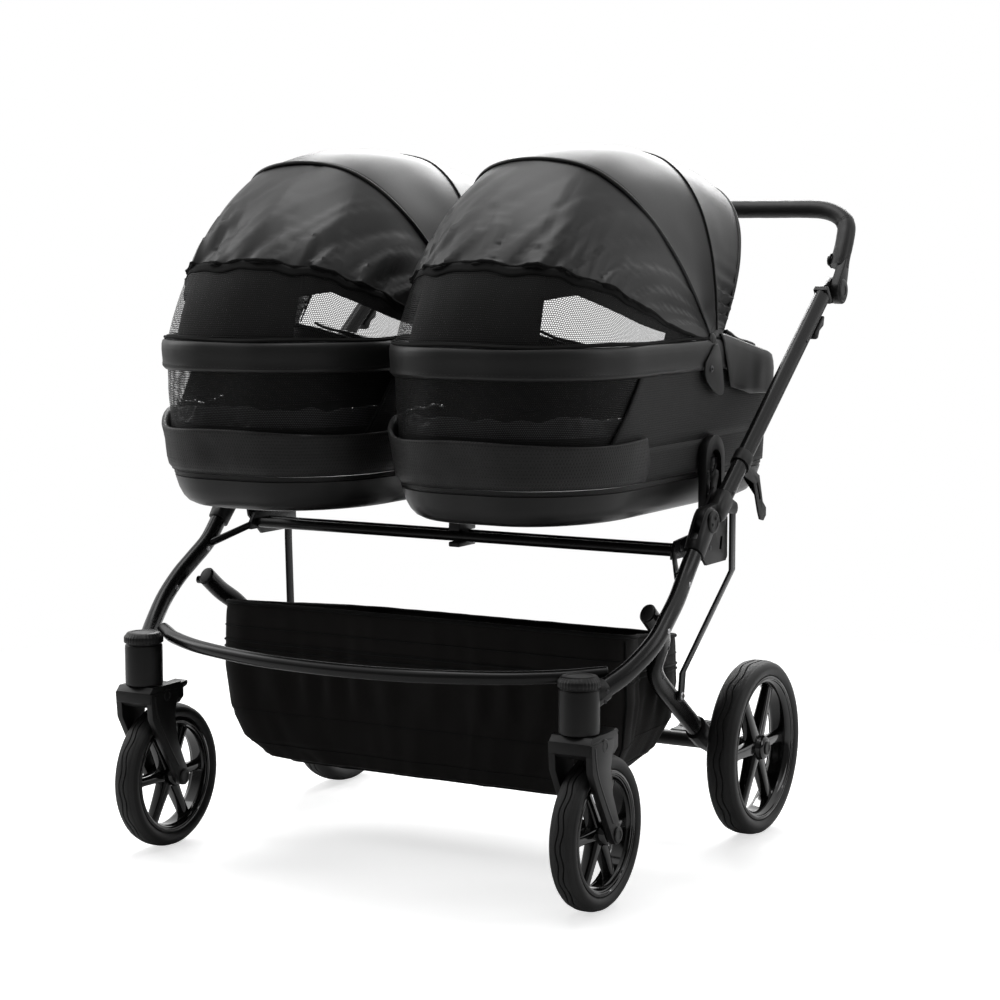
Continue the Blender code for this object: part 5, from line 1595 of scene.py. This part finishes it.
def basket_loop(inset_x, inset_front, inset_rear, z_front, z_rear, count=420):
    """A closed loop of evenly spaced points round the basket."""
    low, high = BASKET_FRONT + inset_front, BASKET_REAR - inset_rear
    side = [(0.30, low), (0.60, low), (0.86, low), (0.955, low + 0.008), (0.993, low + 0.024), (1.0, low + 0.052),
            (1.0, -0.150), (1.0, -0.120), (1.0, -0.040), (1.0, high - 0.070), (0.985, high - 0.035),
            (0.93, high - 0.010), (0.80, high), (0.50, high)]
    points = [((basket_half_width(y) - inset_x) * share, y) for share, y in side]
    corners = [Vector((x, y, 0)) for x, y in points] + [Vector((-x, y, 0)) for x, y in reversed(points)]
    line = smooth(corners, 6, closed=True)
    line.append(line[0])
    reach = [0.0]
    for p, q in zip(line, line[1:]):
        reach.append(reach[-1] + (q - p).length)
    out, k = [], 0
    for i in range(count):
        want = reach[-1] * i / count
        while reach[k + 1] < want:
            k += 1
        p = line[k].lerp(line[k + 1], (want - reach[k]) / max(reach[k + 1] - reach[k], 1e-9))
        out.append(Vector((p.x, p.y, z_front + (z_rear - z_front) * (p.y - BASKET_FRONT)
                           / (BASKET_REAR - BASKET_FRONT))))
    return out


BASKET_RINGS = [(0.128, 0.045, 0.045, 0.1150, 0.1200), (0.066, 0.020, 0.024, 0.1260, 0.1300),
                (0.030, 0.006, 0.010, 0.1560, 0.1580), (0.008, 0.000, 0.002, 0.2050, 0.2000),
                (0.000, -0.002, 0.000, 0.2700, 0.2500), (0.004, 0.000, 0.002, 0.3780, 0.3250)]


def basket_ring(level):
    """The loop at a level from 0, the floor's edge, to 5, the mouth."""
    k = min(int(level), 4)
    f = level - k
    size = [a + (b - a) * f for a, b in zip(BASKET_RINGS[k], BASKET_RINGS[k + 1])]
    return basket_loop(*size)


def basket_folds(along, height):
    """How far the cloth stands out in wrinkles, creases and gathers, and how far it sags."""
    wrinkle = 0.0044 * noise.noise(Vector((along * 0.55, height * 1.5, 3.0)))
    wrinkle += 0.0024 * noise.noise(Vector((along * 1.7, height * 2.0, 9.0)))
    crease = 0.0018 * max(0.0, noise.noise(Vector((along * 1.1 + height * 2.2, height * 0.8, 14.0)))) * 2
    gather = 0.0030 * sin(along * 5.1 + 2 * sin(along * 0.9)) * exp(-((height - 0.76) / 0.11) ** 2)
    uneven = 0.4 + 0.6 * noise.noise(Vector((along * 0.20, 5.0, 1.0)))
    return wrinkle + crease + gather, -0.0060 * sin(pi * min(1.0, height / 0.9)) * uneven


def make_basket():
    rows = []
    levels = spread(0.0, 5.0, 61)
    for level in levels:
        row = basket_ring(level)
        height = level / 5
        for i, p in enumerate(row):
            out = Vector((p.x * 0.6, p.y + 0.07, 0)).normalized()
            along = i / len(row) * 40
            folds, sag = basket_folds(along, height)
            keep = min(1.0, (1 - height) / 0.04) * min(1.0, height / 0.06 + 0.2)
            row[i] = p + out * (folds * keep + sag * 0.35 * keep)
        rows.append(row)
    basket = surface("basket_sides", rows, BASKET_CLOTH, "frame", 0.0016, closed=True, stands_for=["basket"])
    sheet_of([row + [row[0]] for row in rows])
    floor = []
    base = basket_ring(0.0)
    centre = sum(base, Vector()) / len(base)
    for f in spread(0.0, 0.985, 14):
        row = []
        for p in base:
            q = p.lerp(centre, f)
            q.z += -0.0030 * sin(pi * f * 0.5) + 0.0010 * noise.noise(Vector((q.x * 20, q.y * 20, 4.0)))
            row.append(q + Vector((0, 0, 0.0008)))
        floor.append(row)
    surface("basket_floor", floor, BASKET_CLOTH, "frame", 0.0014, closed=True, inside=(0, -0.07, 0.3))
    top = basket_ring(4.97)
    hem = []
    for i, p in enumerate(top):
        wobble = 0.0008 * noise.noise(Vector((i * 0.13, 2.0, 5.0)))
        hem.append(p + Vector((0, 0, wobble)))
    hem.append(hem[0])
    points, faces = solid(tube_rings(hem, 0.0030, 0.0034, Z, 12))
    add_piece("basket_hem", points, faces, TAPE_CLOTH, "frame")
    for name, level, radius in (("basket_seam_top", 4.62, 0.0011), ("basket_zip_upper", 4.40, 0.0019),
                                ("basket_zip_lower", 4.30, 0.0017), ("basket_seam_middle", 2.95, 0.0008),
                                ("basket_seam_low", 1.75, 0.0009), ("basket_bottom_piping", 0.45, 0.0016)):
        row = basket_ring(level)
        path = []
        for i, p in enumerate(row):
            out = Vector((p.x * 0.6, p.y + 0.07, 0)).normalized()
            height = level / 5
            along = i / len(row) * 40
            folds, sag = basket_folds(along, height)
            path.append(p + out * (folds + sag * 0.35 + radius * 0.3))
        path.append(path[0])
        points, faces = solid(tube_rings(path, radius, radius, Z, 8))
        add_piece(name, points, faces, TAPE_CLOTH, "frame")
    for sign, side in ((1, "right"), (-1, "left")):
        path = []
        for level in spread(0.6, 4.9, 40):
            row = basket_ring(level)
            want = min(row, key=lambda p: (p - Vector((sign * 0.352, BASKET_FRONT + 0.020, p.z))).length)
            out = Vector((want.x * 0.6, want.y + 0.07, 0)).normalized()
            path.append(want + out * 0.0006)
        points, faces = solid(tube_rings(smooth(path, 2), 0.0018, 0.0018, X, 8))
        add_piece("basket_corner_piping_" + side, points, faces, TAPE_CLOTH, "frame")


make_basket()


# Light, floor and backdrop

def make_floor():
    look = bpy.data.materials.new("studio floor")
    look.use_nodes = True
    tree = look.node_tree
    shader = next(n for n in tree.nodes if n.type == "BSDF_PRINCIPLED")
    shader.inputs["Base Color"].default_value = (0.93, 0.93, 0.93, 1)
    shader.inputs["Roughness"].default_value = 0.7
    glow = tree.nodes.new("ShaderNodeEmission")
    glow.inputs["Strength"].default_value = 0.66
    mix = tree.nodes.new("ShaderNodeMixShader")
    white = tree.nodes.new("ShaderNodeEmission")
    far = tree.nodes.new("ShaderNodeMixShader")
    coordinates = node(tree, "ShaderNodeTexCoord")
    distance = node(tree, "ShaderNodeVectorMath", {0: coordinates.outputs["Object"]}, operation="LENGTH")
    away_share = maths(tree, "DIVIDE", maths(tree, "SUBTRACT", distance.outputs["Value"], 0.9), 1.1, clamp=True)
    tree.links.new(away_share, far.inputs["Fac"])
    path = tree.nodes.new("ShaderNodeLightPath")
    tree.links.new(path.outputs["Is Camera Ray"], mix.inputs["Fac"])
    add = tree.nodes.new("ShaderNodeAddShader")
    tree.links.new(shader.outputs[0], add.inputs[0])
    tree.links.new(glow.outputs[0], add.inputs[1])
    tree.links.new(shader.outputs[0], mix.inputs[1])
    tree.links.new(add.outputs[0], far.inputs[1])
    tree.links.new(white.outputs[0], far.inputs[2])
    tree.links.new(far.outputs[0], mix.inputs[2])
    end = next(n for n in tree.nodes if n.type == "OUTPUT_MATERIAL")
    tree.links.new(mix.outputs[0], end.inputs["Surface"])
    mesh = bpy.data.meshes.new("floor")
    mesh.from_pydata([(-14, -14, 0), (14, -14, 0), (14, 14, 0), (-14, 14, 0)], [], [(0, 1, 2, 3)])
    mesh.materials.append(look)
    floor = bpy.data.objects.new("floor", mesh)
    bpy.context.scene.collection.objects.link(floor)


def make_world():
    """White for the camera; reflections see white above and behind the pram, and dusk in front of it."""
    world = bpy.data.worlds.new("studio")
    bpy.context.scene.world = world
    world.use_nodes = True
    tree = world.node_tree
    tree.nodes.clear()
    path = node(tree, "ShaderNodeLightPath")
    direction = node(tree, "ShaderNodeTexCoord").outputs["Generated"]
    towards = node(tree, "ShaderNodeVectorMath", {0: direction}, operation="DOT_PRODUCT")
    towards.inputs[1].default_value = BACKDROP_WAY
    behind = maths(tree, "ADD", maths(tree, "MULTIPLY", towards.outputs["Value"], 1.6), 0.10, clamp=True)
    mirrored = maths(tree, "MULTIPLY", path.outputs["Is Glossy Ray"], behind)
    seen = maths(tree, "ADD", path.outputs["Is Camera Ray"], path.outputs["Is Transmission Ray"])
    seen = maths(tree, "ADD", seen, mirrored, clamp=True)
    dim = node(tree, "ShaderNodeBackground")
    dim.inputs["Color"].default_value = (1, 1, 1, 1)
    dim.inputs["Strength"].default_value = 0.14
    white = node(tree, "ShaderNodeBackground")
    white.inputs["Color"].default_value = (1, 1, 1, 1)
    mix = node(tree, "ShaderNodeMixShader", {0: seen, 1: dim.outputs[0], 2: white.outputs[0]})
    node(tree, "ShaderNodeOutputWorld", {"Surface": mix.outputs[0]})


def area_lamp(name, place, target, size, power):
    data = bpy.data.lights.new(name, "AREA")
    data.shape = "RECTANGLE"
    data.size, data.size_y = size
    data.energy = power
    lamp = bpy.data.objects.new(name, data)
    lamp.location = place
    lamp.rotation_euler = (Vector(target) - Vector(place)).to_track_quat("-Z", "Y").to_euler()
    bpy.context.scene.collection.objects.link(lamp)


make_floor()
make_world()
area_lamp("overhead", (-0.3, -0.3, 3.2), (0, 0, 0.6), (2.4, 1.6), 34)
area_lamp("left side", (-3.0, -0.6, 2.2), (0, 0, 0.7), (1.2, 2.2), 26)
area_lamp("right side", (3.2, 0.6, 1.8), (0, 0, 0.7), (1.0, 2.2), 16)
area_lamp("behind", (-0.9, 3.0, 2.6), (0, 0, 0.9), (3.0, 1.4), 122)
bpy.context.scene.view_settings.view_transform = "Standard"
